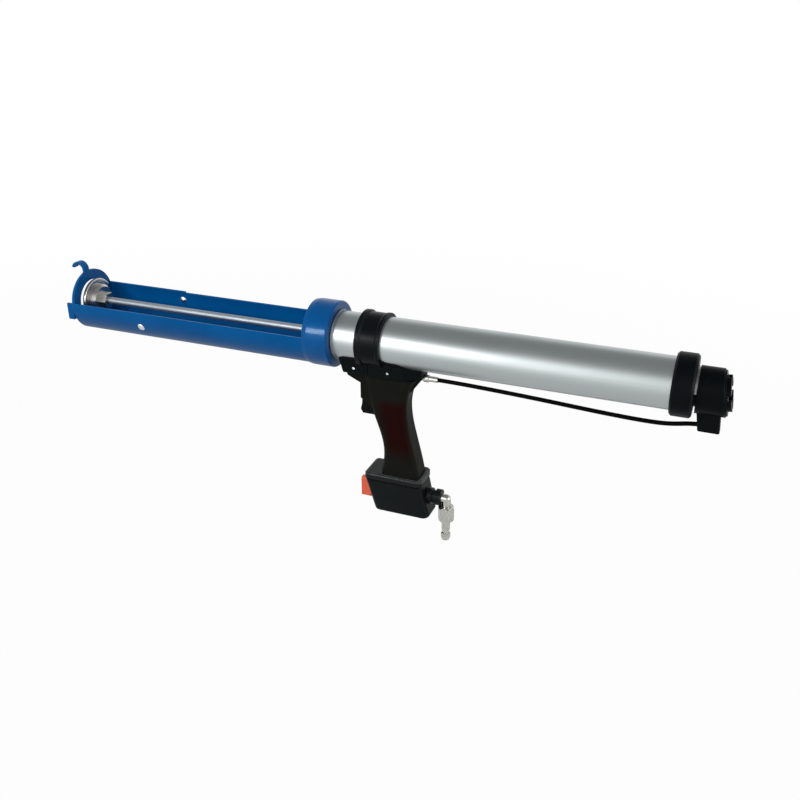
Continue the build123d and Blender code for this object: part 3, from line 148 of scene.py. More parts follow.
class NodeSheet:
    """Any node tree, with one method that adds a node, sets it up and links it."""

    def __init__(self, tree: bpy.types.NodeTree) -> None:
        """Keep the tree that the nodes go into."""
        self.tree = tree

    def node(self, kind: str, sockets: dict[Key, object], output: Key = 0, **settings: object) -> Wire:
        """Add any node, set it up and link it.

        Args:
            kind: The node's type.
            sockets: Values or wires for its inputs; a list of wires goes to a socket that takes many.
            output: Which output to hand back.
            settings: The node's own settings, which are set first.

        Returns:
            The chosen output.
        """
        made = self.tree.nodes.new(kind)
        for key, value in settings.items():
            setattr(made, key, value)
        for key, value in sockets.items():
            self.feed(made.inputs[key], value)
        return Wire(self, made.outputs[output])

    def rays(self) -> tuple[Wire, Wire]:
        """Whether a ray comes from the camera, and whether from a mirror or a clear piece."""
        seen = self.node("ShaderNodeLightPath", {}, "Is Camera Ray")
        return seen, seen.sibling("Is Glossy Ray") + seen.sibling("Is Transmission Ray")

    def feed(self, socket: bpy.types.NodeSocket, value: object) -> None:
        """Link wires to a socket, or set the socket's own value.

        Args:
            socket: The input.
            value: A wire, a list of wires, a number, a colour or a vector.
        """
        if isinstance(value, list):
            for wire in value:
                self.feed(socket, wire)
        elif isinstance(value, Wire):
            self.tree.links.new(value.socket, socket)
        elif socket.type == "RGBA":
            socket.default_value = (*value, 1.0)
        else:
            socket.default_value = value


@dataclass(frozen=True)
class Mottle:
    """Patches of noise with soft edges: cells per metre, where the step lies, octaves and the two levels."""

    scale: float
    low: float
    high: float
    detail: float = 3.0
    start: float = 0.0
    end: float = 1.0


class ShaderSheet(NodeSheet):
    """One material's node tree, with a Principled shader at its end."""

    BEVEL_SAMPLES = 6
    EDGE_START = 0.01
    EDGE_FULL = 0.16
    RING_DETAIL = 2.0

    def __init__(self, name: str) -> None:
        """Make an empty material.

        Args:
            name: The material's name.
        """
        self.material = bpy.data.materials.new(name)
        self.material.use_nodes = True
        super().__init__(self.material.node_tree)
        self.shader = self.tree.nodes["Principled BSDF"]

    def set(self, **sockets: object) -> None:
        """Set the shader's inputs, with the spaces of their names written as underscores."""
        for key, value in sockets.items():
            self.feed(self.shader.inputs[key.replace("_", " ")], value)

    def place(self) -> Wire:
        """Object coordinates, in metres."""
        return self.node("ShaderNodeTexCoord", {}, "Object")

    def axes(self) -> tuple[Wire, Wire, Wire]:
        """The three Object coordinates as separate values."""
        across = self.node("ShaderNodeSeparateXYZ", {0: self.place()})
        return across, across.sibling(1), across.sibling(2)

    def noise(self, scale: float, stretch: Triple, detail: float) -> Wire:
        """Noise around a half, by its cells per metre, the stretch of each axis and its octaves."""
        place = self.node("ShaderNodeMapping", {"Vector": self.place(), "Scale": stretch})
        return self.node("ShaderNodeTexNoise", {"Vector": place, "Scale": scale, "Detail": detail})

    def noise_of(self, value: Wire, scale: float) -> Wire:
        """Noise around a half that changes only with one value, by its cells per metre."""
        sockets = {"W": value, "Scale": scale, "Detail": self.RING_DETAIL}
        return self.node("ShaderNodeTexNoise", sockets, noise_dimensions="1D")

    def mottle(self, patches: Mottle, stretch: Triple = EVEN) -> Wire:
        """Patches of noise, as a value between their two levels."""
        noise = self.noise(patches.scale, stretch, patches.detail)
        return noise.ramp(patches.low, patches.high, patches.start, patches.end)

    def mix(self, factor: Number, first: object, second: object) -> Wire:
        """Blend of two colours or wires, where the factor is the share of the second."""
        sockets = {0: factor, 6: first, 7: second}
        return self.node("ShaderNodeMix", sockets, 2, data_type="RGBA", clamp_factor=True)

    def rounded(self, radius: float) -> Wire:
        """Normal that is rounded over the edges by a radius."""
        return self.node("ShaderNodeBevel", {"Radius": radius}, samples=self.BEVEL_SAMPLES)

    def edge(self, rounded: Wire) -> Wire:
        """Mask of the edges: how far the rounded normal turns from the plain one.

        Args:
            rounded: Normal that is rounded over the edges.

        Returns:
            1 on an edge and 0 away from it.
        """
        plain = self.node("ShaderNodeNewGeometry", {}, "Normal")
        alike = self.node("ShaderNodeVectorMath", {0: rounded, 1: plain}, "Value", operation="DOT_PRODUCT")
        return (1.0 - alike).ramp(self.EDGE_START, self.EDGE_FULL)

    def bump(self, height: Wire, depth: float, normal: Wire) -> Wire:
        """Normal from a height of 0 to 1 on another normal, with the depth in metres of a height of 1."""
        return self.node("ShaderNodeBump", {"Height": height, "Distance": depth, "Normal": normal})


@dataclass(frozen=True)
class Finish:
    """A surface finish that becomes one material."""

    name: str
    colour: Triple
    shade: Triple
    roughness: float

    def material(self) -> bpy.types.Material:
        """The material of this finish, built at its first use.

        Returns:
            The one material of this name.
        """
        found = bpy.data.materials.get(self.name)
        if found:
            return found
        sheet = ShaderSheet(self.name)
        self.paint(sheet)
        return sheet.material

    def paint(self, sheet: ShaderSheet) -> None:
        """Lay the finish on a shader sheet."""
        raise NotImplementedError


@dataclass(frozen=True)
class GlossPaint(Finish):
    """Baked gloss paint on sheet steel, with slight orange peel, faded patches and rubbed edges."""

    rubbed: Triple
    gloss: Triple
    coat: float
    coat_roughness: float = 0.16
    specular: float = 0.22
    patches: Mottle = Mottle(14.0, 0.35, 0.75)
    patch_haze: float = 0.08
    peel_scale: float = 420.0
    peel_detail: float = 1.0
    peel_depth: float = 0.02 * MM
    specks: Mottle = Mottle(650.0, 0.52, 0.66, detail=4.0, start=0.25, end=0.85)
    wear_haze: float = 0.15
    edge_radius: float = 0.7 * MM

    def paint(self, sheet: ShaderSheet) -> None:
        """Paint film under a thin glossy skin.

        Args:
            sheet: The material's sheet.
        """
        patch = sheet.mottle(self.patches)
        peel = sheet.noise(self.peel_scale, EVEN, self.peel_detail)
        rounded = sheet.rounded(self.edge_radius)
        worn = sheet.edge(rounded) * sheet.mottle(self.specks)
        film = sheet.mix(patch, self.colour, self.shade)
        sheet.set(
            Base_Color=sheet.mix(worn, film, self.rubbed),
            Roughness=self.roughness + self.patch_haze * patch + self.wear_haze * worn,
            Normal=sheet.bump(peel, self.peel_depth, rounded),
        )
        sheet.set(Specular_IOR_Level=self.specular, Specular_Tint=self.gloss)
        sheet.set(Coat_Weight=self.coat, Coat_Roughness=self.coat_roughness)


@dataclass(frozen=True)
class DrawnMetal(Finish):
    """Satin metal with fine lines drawn along one axis and faint handling marks."""

    lines: Triple
    line_scale: float = 1100.0
    line_detail: float = 4.0
    line_depth: float = 0.012 * MM
    line_tone: float = 0.5
    line_haze: float = 0.10
    clouds: Mottle = Mottle(16.0, 0.35, 0.75)
    cloud_tone: float = 0.2
    cloud_haze: float = 0.06
    scuffs: Mottle = Mottle(260.0, 0.63, 0.70, detail=2.0)
    scuff_tone: float = 0.25
    edge_radius: float = 0.4 * MM

    def paint(self, sheet: ShaderSheet) -> None:
        """Metal whose lines vary its colour, roughness and normal.

        Args:
            sheet: The material's sheet.
        """
        line = sheet.noise(self.line_scale, self.lines, self.line_detail)
        cloud = sheet.mottle(self.clouds)
        scuff = sheet.mottle(self.scuffs, self.lines)
        rounded = sheet.rounded(self.edge_radius)
        mark = self.line_tone * line + self.cloud_tone * cloud + self.scuff_tone * scuff
        sheet.set(
            Base_Color=sheet.mix(mark, self.colour, self.shade),
            Roughness=self.roughness + self.line_haze * (line - 0.5) + self.cloud_haze * cloud,
            Normal=sheet.bump(line, self.line_depth, rounded),
        )
        sheet.set(Metallic=1.0)


@dataclass(frozen=True)
class TurnedMetal(Finish):
    """Metal faced on a lathe about the barrel axis, with rings of tool marks."""

    ring_pitch: float = 0.9 * MM
    ring_start: float = 0.35
    ring_full: float = 0.7
    ring_tone: float = 0.6
    ring_haze: float = 0.12
    ring_depth: float = 0.05 * MM
    tarnish: Mottle = Mottle(120.0, 0.45, 0.8)
    tarnish_tone: float = 0.3
    edge_radius: float = 0.5 * MM

    def paint(self, sheet: ShaderSheet) -> None:
        """Metal with rings by the distance from the axis and from the front.

        Args:
            sheet: The material's sheet.
        """
        x, y, z = sheet.axes()
        radius = (y * y + z * z) ** 0.5
        ring = sheet.noise_of(radius + x, 1.0 / self.ring_pitch)
        rounded = sheet.rounded(self.edge_radius)
        dull = self.tarnish_tone * sheet.mottle(self.tarnish)
        mark = self.ring_tone * ring.ramp(self.ring_start, self.ring_full) + dull
        sheet.set(
            Base_Color=sheet.mix(mark, self.colour, self.shade),
            Roughness=self.roughness + self.ring_haze * ring,
            Normal=sheet.bump(ring, self.ring_depth, rounded),
        )
        sheet.set(Metallic=1.0)


@dataclass(frozen=True)
class PlatedSteel(Finish):
    """Plated or blackened steel of small fasteners and fittings, mottled and rubbed at its edges."""

    patches: Mottle = Mottle(480.0, 0.35, 0.7)
    patch_haze: float = 0.10
    patch_depth: float = 0.01 * MM
    edge_tone: float = 0.5
    edge_shine: float = 0.08
    edge_radius: float = 0.25 * MM

    def paint(self, sheet: ShaderSheet) -> None:
        """Mottled plating that is brighter along its edges.

        Args:
            sheet: The material's sheet.
        """
        patch = sheet.mottle(self.patches)
        rounded = sheet.rounded(self.edge_radius)
        edge = sheet.edge(rounded)
        plating = sheet.mix(patch, self.colour, self.shade)
        sheet.set(
            Base_Color=sheet.mix(self.edge_tone * edge, plating, self.colour),
            Roughness=self.roughness + self.patch_haze * patch - self.edge_shine * edge,
            Normal=sheet.bump(patch, self.patch_depth, rounded),
        )
        sheet.set(Metallic=1.0)


@dataclass(frozen=True)
class Moulding(Finish):
    """Moulded plastic or rubber with a fine grain and lighter edges, partly polished by handling and partly a
    painted highlight.
    """

    # colour of the lighter edges: partly wear, partly a painted highlight
    rubbed: Triple
    specular: float
    grain: float = 1500.0
    grain_detail: float = 2.0
    grain_depth: float = 0.03 * MM
    grain_haze: float = 0.10
    clouds: Mottle = Mottle(24.0, 0.3, 0.75)
    rubs: Mottle = Mottle(180.0, 0.25, 0.6, start=0.5)
    edge_shine: float = 0.06
    edge_radius: float = 0.7 * MM

    def body(self, sheet: ShaderSheet) -> Wire:
        """Colour of the material before its edges are worn."""
        return sheet.mix(sheet.mottle(self.clouds), self.colour, self.shade)

    def relief(self, sheet: ShaderSheet) -> Wire:
        """Height of the moulded grain."""
        return sheet.noise(self.grain, EVEN, self.grain_detail)

    def worn(self, sheet: ShaderSheet, rounded: Wire) -> Wire:
        """Mask of the lighter edges, a little uneven along them."""
        return sheet.edge(rounded) * sheet.mottle(self.rubs)

    def paint(self, sheet: ShaderSheet) -> None:
        """Plastic with grain, a slight shift of colour and lighter edges, partly wear and partly a painted
        highlight.

        Args:
            sheet: The material's sheet.
        """
        relief = self.relief(sheet)
        rounded = sheet.rounded(self.edge_radius)
        edge = self.worn(sheet, rounded)
        sheet.set(
            Base_Color=sheet.mix(edge, self.body(sheet), self.rubbed),
            Roughness=self.roughness + self.grain_haze * (relief - 0.5) - self.edge_shine * edge,
            Normal=sheet.bump(relief, self.grain_depth, rounded),
        )
        sheet.set(Specular_IOR_Level=self.specular)


@dataclass(frozen=True)
class SeamMoulding(Moulding):
    """Plastic of two cases that meet at a seam: painted shade along the seam, and a painted highlight on the
    edges away from it.
    """

    seam: float = 0.0
    # painted shade along the seam: its near-black colour, where it starts to fade and where it ends
    seam_shade: Triple = (0.0004, 0.0004, 0.0004)
    seam_shade_full: float = 1.25 * MM
    seam_shade_end: float = 2.0 * MM
    # the painted highlight on the edges starts this far from the seam and is full here
    highlight_start: float = 1.5 * MM
    highlight_full: float = 2.5 * MM

    def body(self, sheet: ShaderSheet) -> Wire:
        """Colour with painted shade along the seam.

        Args:
            sheet: The material's sheet.

        Returns:
            The colour.
        """
        _, _, z = sheet.axes()
        # painted shade: near black at the seam, fading out a few millimetres from it
        seam_shadow = abs(z - self.seam).ramp(self.seam_shade_full, self.seam_shade_end, 1.0, 0.0)
        return sheet.mix(seam_shadow, super().body(sheet), self.seam_shade)

    def worn(self, sheet: ShaderSheet, rounded: Wire) -> Wire:
        """Mask of the edges' painted highlight, without those of the seam."""
        _, _, z = sheet.axes()
        return super().worn(sheet, rounded) * abs(z - self.seam).ramp(self.highlight_start, self.highlight_full)


@dataclass(frozen=True)
class GripMoulding(Moulding):
    """Plastic of the two grip halves: a parting line on the middle plane and a warm tint in the palm."""

    saddle: Triple = (0.0025, 0.0042, 0.0042)
    saddle_foot: float = -37.0 * MM
    saddle_fade: float = 1.0 * MM
    palm: Triple = (0.0100, 0.0010, 0.0004)
    palm_top: float = -58.0 * MM
    palm_foot: float = -124.0 * MM
    palm_fade: float = 13.0 * MM
    palm_side: float = 13.0 * MM
    palm_edge: float = 8.0 * MM
    palm_lean: float = 0.2
    palm_front: float = 356.0 * MM
    palm_full: float = 369.0 * MM
    parting_half: float = 0.25 * MM
    parting_grains: float = 6.0

    def body(self, sheet: ShaderSheet) -> Wire:
        """Black, cooler on the saddle and turning to a deep warm tint on the sides of the palm.

        Args:
            sheet: The material's sheet.

        Returns:
            The colour.
        """
        x, y, z = sheet.axes()
        below = z.ramp(self.palm_top - self.palm_fade, self.palm_top, 1.0, 0.0)
        above = z.ramp(self.palm_foot - self.palm_fade, self.palm_foot + self.palm_fade)
        side = abs(y).ramp(self.palm_edge, self.palm_side)
        rear = (x + self.palm_lean * z).ramp(self.palm_front, self.palm_full)
        high = z.ramp(self.saddle_foot - self.saddle_fade, self.saddle_foot)
        black = sheet.mix(high, super().body(sheet), self.saddle)
        return sheet.mix(below * above * side * rear, black, self.palm)

    def relief(self, sheet: ShaderSheet) -> Wire:
        """Grain with the groove of the parting line, which is several grains deep.

        Args:
            sheet: The material's sheet.

        Returns:
            The height.
        """
        _, y, _ = sheet.axes()
        groove = abs(y).ramp(0.0, self.parting_half, 1.0, 0.0)
        return super().relief(sheet) - self.parting_grains * groove


BLUE_PAINT = GlossPaint(
    "cradle_paint", colour=(0.0005, 0.063, 0.212), shade=(0.001, 0.075, 0.240), roughness=0.30,
    rubbed=(0.04, 0.15, 0.31), gloss=(0.05, 0.36, 0.75), coat=0.02,
)
COLLAR_PAINT = GlossPaint(
    "collar_paint", colour=(0.0005, 0.060, 0.205), shade=(0.001, 0.072, 0.235), roughness=0.27,
    rubbed=(0.04, 0.15, 0.31), gloss=(0.08, 0.46, 0.90), coat=0.16,
)
BARREL = DrawnMetal(
    "barrel_satin", colour=(0.545, 0.59, 0.592), shade=(0.45, 0.49, 0.49), roughness=0.36,
    lines=(0.03, 1.0, 1.0),
)
ROD = DrawnMetal(
    "rod_steel", colour=(0.53, 0.58, 0.62), shade=(0.33, 0.375, 0.41), roughness=0.50, lines=(0.05, 1.0, 1.0)
)
PLUNGER = TurnedMetal("plunger_turned", colour=(0.60, 0.59, 0.57), shade=(0.24, 0.235, 0.225), roughness=0.20)
ZINC = PlatedSteel("zinc_plating", colour=(0.86, 0.87, 0.88), shade=(0.66, 0.67, 0.69), roughness=0.26)
NICKEL = PlatedSteel("plug_nickel", colour=(0.66, 0.66, 0.61), shade=(0.48, 0.48, 0.44), roughness=0.14)
CLIP = PlatedSteel("clip_steel", colour=(0.42, 0.42, 0.42), shade=(0.28, 0.28, 0.28), roughness=0.34)
BLACKENED = PlatedSteel(
    "blackened_steel", colour=(0.030, 0.030, 0.032), shade=(0.014, 0.014, 0.015), roughness=0.40
)
CAP_BLACK = Moulding(
    "cap_moulding", colour=(0.0015, 0.0024, 0.003), shade=(0.003, 0.004, 0.005), roughness=0.38,
    rubbed=(0.02, 0.022, 0.023), specular=0.05,
)
BAND_BLACK = Moulding(
    "band_moulding", colour=(0.002, 0.003, 0.004), shade=(0.004, 0.005, 0.006), roughness=0.31,
    rubbed=(0.03, 0.032, 0.034), specular=0.07,
)
GRIP_BLACK = GripMoulding(
    "grip_moulding", colour=(0.005, 0.0052, 0.004), shade=(0.007, 0.0072, 0.0055), roughness=0.42,
    rubbed=(0.02, 0.02, 0.02), specular=0.04,
)
BASE_SEAM = -160.6 * MM
# the base's lighter edge colour is a painted highlight
BASE_BLACK = SeamMoulding(
    "base_moulding", colour=(0.003, 0.0045, 0.005), shade=(0.005, 0.007, 0.0075), roughness=0.36,
    rubbed=(0.05, 0.055, 0.057), specular=0.09, seam=BASE_SEAM,
)
# the lid's light edge colour, spread over a wide rounded edge, is a painted highlight along its top edges
LID_BLACK = SeamMoulding(
    "lid_moulding", colour=(0.004, 0.005, 0.0055), shade=(0.007, 0.008, 0.0085), roughness=0.34,
    rubbed=(0.15, 0.155, 0.155), specular=0.16, edge_radius=3.0 * MM, seam=BASE_SEAM,
)
RUBBER = Moulding(
    "black_rubber", colour=(0.001, 0.001, 0.001), shade=(0.002, 0.002, 0.002), roughness=0.38,
    rubbed=(0.006, 0.006, 0.006), specular=0.03, grain=900.0,
)
KNOB_ORANGE = Moulding(
    "knob_plastic", colour=(0.60, 0.090, 0.042), shade=(0.68, 0.12, 0.06), roughness=0.42,
    rubbed=(0.76, 0.22, 0.13), specular=0.3,
)


@dataclass(frozen=True)
class SpreadSize:
    """Sizes of one shape that is set on points."""

    def tree(self) -> "SpreadTree":
        """A tree for this shape."""
        raise NotImplementedError

    def values(self) -> dict[str, float]:
        """The sizes, each by the name of its input in the tree."""
        sizes = {field.name.replace("_", " ").title(): getattr(self, field.name) for field in fields(self)}
        return {name: size for name, size in sizes.items() if isinstance(size, float)}


@dataclass(frozen=True)
class FastenerSize(SpreadSize):
    """Sizes of one kind of fastener, whose head stands on its seat and whose shank goes in."""

    head_radius: float
    head_height: float
    dome_radius: float
    shank_radius: float
    shank_length: float
    recess: Recess = Recess.PLAIN
    recess_width: float = 1.0 * MM
    recess_depth: float = 0.5 * MM

    def tree(self) -> "FastenerTree":
        """A tree for this kind of fastener."""
        return FastenerTree(f"{self.recess.value}_fasteners", self)


@dataclass(frozen=True)
class CoilSize(SpreadSize):
    """Sizes of one coil spring, which stands on its seat."""

    outer_radius: float
    length: float
    wire_radius: float
    turns: float

    def tree(self) -> "CoilTree":
        """A tree for a coil."""
        return CoilTree("coils", self)


class SpreadTree(NodeSheet):
    """Geometry Nodes tree that sets one shape on every point of a mesh.

    A point's "facing" attribute gives the way that the shape's top looks, and "size" its scale.
    """

    def __init__(self, name: str, size: SpreadSize) -> None:
        """Build the tree.

        Args:
            name: The tree's name.
            size: The sizes that its inputs take.
        """
        super().__init__(bpy.data.node_groups.new(name, "GeometryNodeTree"))
        self.size = size
        self.identifiers: dict[str, str] = {}
        self.add_input("Places", "NodeSocketGeometry")
        for label in size.values():
            self.add_input(label, "NodeSocketFloat")
        self.add_input("Seed", "NodeSocketInt")
        self.add_input("Finish", "NodeSocketMaterial")
        self.tree.interface.new_socket("Pieces", in_out="OUTPUT", socket_type="NodeSocketGeometry")
        self.given = self.node("NodeGroupInput", {}, "Places")
        placed = self.node("GeometryNodeRealizeInstances", {"Geometry": self.spread(self.shape())})
        finish = self.given.sibling("Finish")
        dressed = self.node("GeometryNodeSetMaterial", {"Geometry": placed, "Material": finish})
        self.feed(self.tree.nodes.new("NodeGroupOutput").inputs["Pieces"], dressed)

    def add_input(self, name: str, kind: str) -> None:
        """Add a named input and note its identifier."""
        socket = self.tree.interface.new_socket(name, in_out="INPUT", socket_type=kind)
        self.identifiers[name] = socket.identifier

    def shape(self) -> Wire:
        """The shape that is set on the points, standing on Z 0."""
        raise NotImplementedError

    def lifted(self, shape: Wire, height: Number) -> Wire:
        """Shape moved up by a height."""
        lift = self.node("ShaderNodeCombineXYZ", {"Z": height})
        return self.node("GeometryNodeTransform", {"Geometry": shape, "Translation": lift})

    def attribute(self, name: str, kind: str) -> Wire:
        """A named attribute of the points."""
        sockets = {"Name": name}
        return self.node("GeometryNodeInputNamedAttribute", sockets, "Attribute", data_type=kind)

    def spread(self, shape: Wire) -> Wire:
        """Copies of the shape on the points, each turned to its facing and by chance about it.

        Args:
            shape: The shape's mesh.

        Returns:
            Instances on the points.
        """
        facing = self.attribute("facing", "FLOAT_VECTOR")
        aimed = self.node("FunctionNodeAlignRotationToVector", {"Vector": facing}, axis="Z")
        limits = {2: -pi, 3: pi, "Seed": self.given.sibling("Seed")}
        chance = self.node("FunctionNodeRandomValue", limits, 1, data_type="FLOAT")
        turn = self.node("FunctionNodeAxisAngleToRotation", {"Axis": (0.0, 0.0, 1.0), "Angle": chance})
        both = {"Rotation": aimed, "Rotate By": turn}
        turned = self.node("FunctionNodeRotateRotation", both, rotation_space="LOCAL")
        size = self.attribute("size", "FLOAT")
        sockets = {"Points": self.given, "Instance": shape, "Rotation": turned, "Scale": size}
        return self.node("GeometryNodeInstanceOnPoints", sockets)


class FastenerTree(SpreadTree):
    """Tree that sets domed fasteners on the points."""

    SEGMENTS = 40
    SMOOTH_ANGLE = radians(32.0)
    HEX_CORNERS = 6
    BLADE_SHARE = 0.28
    SHANK_INSIDE = 0.25

    def shape(self) -> Wire:
        """One fastener: its head and its shank."""
        parts = [self.head(), self.shank()]
        return self.smooth(self.node("GeometryNodeJoinGeometry", {0: parts}))

    def rod(self, radius: Number, length: Number, corners: int) -> Wire:
        """Round or many-sided bar about Z, centred on the origin."""
        sockets = {"Vertices": corners, "Radius": radius, "Depth": length}
        return self.node("GeometryNodeMeshCylinder", sockets, "Mesh")

    def cut(self, operation: str, meshes: dict[Key, object]) -> Wire:
        """Result of one exact boolean of meshes."""
        return self.node("GeometryNodeMeshBoolean", meshes, "Mesh", operation=operation, solver="EXACT")

    def head(self) -> Wire:
        """Domed head with its recess.

        Returns:
            The head's mesh, standing on Z 0.
        """
        given = self.given.sibling
        height = given("Head Height")
        drum = self.lifted(self.rod(given("Head Radius"), height, self.SEGMENTS), 0.5 * height)
        dome_radius = given("Dome Radius")
        ball_sockets = {"Segments": self.SEGMENTS, "Rings": self.SEGMENTS, "Radius": dome_radius}
        ball = self.node("GeometryNodeMeshUVSphere", ball_sockets, "Mesh")
        dome = self.lifted(ball, height - dome_radius)
        solid = self.cut("INTERSECT", {"Mesh 2": [drum, dome]})
        if self.size.recess is Recess.PLAIN:
            return solid
        sunk = [self.lifted(cutter, height) for cutter in self.cutters()]
        return self.cut("DIFFERENCE", {"Mesh 1": solid, "Mesh 2": sunk})

    def cutters(self) -> list[Wire]:
        """Shapes that cut the recess, centred on the origin.

        Returns:
            One six-sided bar, or two crossed blades.
        """
        width = self.given.sibling("Recess Width")
        depth = 2.0 * self.given.sibling("Recess Depth")
        if self.size.recess is Recess.HEX:
            return [self.rod(0.5 * width, depth, self.HEX_CORNERS)]
        slim = self.BLADE_SHARE * width
        blades = []
        for across, along in ((width, slim), (slim, width)):
            size = self.node("ShaderNodeCombineXYZ", {"X": across, "Y": along, "Z": depth})
            blades.append(self.node("GeometryNodeMeshCube", {"Size": size}, "Mesh"))
        return blades

    def shank(self) -> Wire:
        """Shank below the head, which reaches a little way into it.

        Returns:
            The shank's mesh.
        """
        given = self.given.sibling
        inside = self.SHANK_INSIDE * given("Head Height")
        length = given("Shank Length") + inside
        return self.lifted(self.rod(given("Shank Radius"), length, self.SEGMENTS // 2), inside - 0.5 * length)

    def smooth(self, mesh: Wire) -> Wire:
        """Shade a mesh smooth, apart from its sharp edges.

        Args:
            mesh: The mesh.

        Returns:
            The shaded mesh.
        """
        angles = {0: self.node("GeometryNodeInputMeshEdgeAngle", {}), 1: self.SMOOTH_ANGLE}
        sharp = self.node("FunctionNodeCompare", angles, operation="GREATER_THAN")
        faces = self.node("GeometryNodeSetShadeSmooth", {"Geometry": mesh, "Shade Smooth": True})
        edges = {"Geometry": faces, "Selection": sharp, "Shade Smooth": False}
        return self.node("GeometryNodeSetShadeSmooth", edges, domain="EDGE")


class CoilTree(SpreadTree):
    """Tree that sets coil springs on the points."""

    TURN_STEPS = 32
    WIRE_STEPS = 12

    def shape(self) -> Wire:
        """One coil: a round wire along a spiral.

        Returns:
            The coil's mesh, standing on Z 0.
        """
        given = self.given.sibling
        wire_radius = given("Wire Radius")
        radius = given("Outer Radius") - wire_radius
        rise = given("Length") - 2.0 * wire_radius
        spiral_sockets = {
            "Resolution": self.TURN_STEPS, "Rotations": given("Turns"),
            "Start Radius": radius, "End Radius": radius, "Height": rise,
        }
        spiral = self.node("GeometryNodeCurveSpiral", spiral_sockets)
        path = self.lifted(spiral, wire_radius)
        wire_sockets = {"Resolution": self.WIRE_STEPS, "Radius": wire_radius}
        wire = self.node("GeometryNodeCurvePrimitiveCircle", wire_sockets, mode="RADIUS")
        tube_sockets = {"Curve": path, "Profile Curve": wire, "Fill Caps": True}
        return self.node("GeometryNodeCurveToMesh", tube_sockets)


@dataclass(frozen=True)
class Place:
    """Where one fastener or spring sits: the middle of its seat, the way its top faces and its scale."""

    seat: Vector
    facing: Vector
    size: float = 1.0


def add_object(name: str, data: bpy.types.ID) -> bpy.types.Object:
    """Add one object to the scene.

    Args:
        name: Its name.
        data: Its mesh, curve, camera or light.

    Returns:
        The object.
    """
    made = bpy.data.objects.new(name, data)
    bpy.context.collection.objects.link(made)
    return made


class Assembly:
    """Ways that all sub-assemblies share."""

    SEED = 7

    def dress(self, finish: Finish, *nodes: str) -> None:
        """Give solids of the frame one finish.

        Args:
            finish: The finish.
            nodes: Names of the solids.
        """
        for name in nodes:
            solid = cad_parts[name]
            solid.data.materials.clear()
            solid.data.materials.append(finish.material())
            LOG.info("dressed %s in %s", name, finish.name)

    def set_out(
        self, node: str, body: str, size: SpreadSize, places: list[Place], finish: Finish, slot: Slot
    ) -> bpy.types.Object:
        """Make a group of fasteners or springs that stands for one solid of the frame.

        Args:
            node: The solid that the group replaces.
            body: The body that it rides on.
            size: Their sizes.
            places: Where they sit.
            finish: Their finish.
            slot: Their slot in the record; not used.

        Returns:
            The finished group.
        """
        points = bpy.data.meshes.new(f"{node}_places")
        points.from_pydata([place.seat for place in places], [], [])
        points.attributes.new("facing", "FLOAT_VECTOR", "POINT")
        points.attributes.new("size", "FLOAT", "POINT")
        for index, place in enumerate(places):
            points.attributes["facing"].data[index].vector = place.facing
            points.attributes["size"].data[index].value = place.size
        group = add_object(f"{node}_group", points)
        tree = size.tree()
        modifier = group.modifiers.new("set_out", "NODES")
        modifier.node_group = tree.tree
        values = {**size.values(), "Seed": self.SEED, "Finish": finish.material()}
        for name, value in values.items():
            modifier[tree.identifiers[name]] = value
        evaluated = group.evaluated_get(bpy.context.evaluated_depsgraph_get())
        mesh = bpy.data.meshes.new_from_object(evaluated)
        group.modifiers.clear()
        group.data = mesh
        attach(group, body)
        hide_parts(node)
        LOG.info("built %s: %d in %s", node, len(places), finish.name)
        return group


@dataclass
class Cradle(Assembly):
    """Painted cradle: nozzle ring, channel, collar and the two rivets through the channel."""

    channel_radius: float = 34.6 * MM
    channel_wall: float = 1.8 * MM
    near_rivet_x: float = 90.0 * MM
    near_rivet_angle: float = 204.0
    far_rivet_x: float = 105.0 * MM
    far_rivet_angle: float = 0.0
    head_sink: float = 0.35 * MM
    tail_size: float = 0.95
    rivet: FastenerSize = FastenerSize(
        head_radius=4.6 * MM, head_height=1.9 * MM, dome_radius=6.6 * MM,
        shank_radius=2.2 * MM, shank_length=0.9 * MM,
    )

    def build(self) -> None:
        """Dress the sheet metal and set the rivets."""
        self.dress(BLUE_PAINT, "front_ring", "cradle_channel")
        self.dress(COLLAR_PAINT, "cradle_collar")
        places = []
        rivets = ((self.near_rivet_x, self.near_rivet_angle), (self.far_rivet_x, self.far_rivet_angle))
        for x, angle in rivets:
            outwards = Vector((0.0, cos(radians(angle)), sin(radians(angle))))
            axis_point = Vector((x, 0.0, 0.0))
            head_seat = axis_point + outwards * (self.channel_radius - self.head_sink)
            tail_seat = axis_point + outwards * (self.channel_radius - self.channel_wall)
            places.append(Place(head_seat, outwards))
            places.append(Place(tail_seat, -outwards, self.tail_size))
        self.set_out("cradle_rivets", "cradle", self.rivet, places, ZINC, Slot.ZINC)


class Ram(Assembly):
    """Plunger, rod and piston."""

    def build(self) -> None:
        """Dress the ram."""
        self.dress(PLUNGER, "plunger_plate", "plunger_cup", "plunger_nut")
        self.dress(ROD, "piston_rod")
        self.dress(BARREL, "piston")
        self.dress(RUBBER, "piston_seal")
        self.dress(ZINC, "piston_nut")


class Cylinder(Assembly):
    """Barrel tube with its nose bush, snap ring and rear cap."""

    def build(self) -> None:
        """Dress the cylinder."""
        self.dress(BARREL, "barrel_tube", "nose_bush")
        self.dress(CAP_BLACK, "rear_cap")
        self.dress(CLIP, "collar_snap_ring")
        self.dress(RUBBER, "rod_seal", "cap_seal")


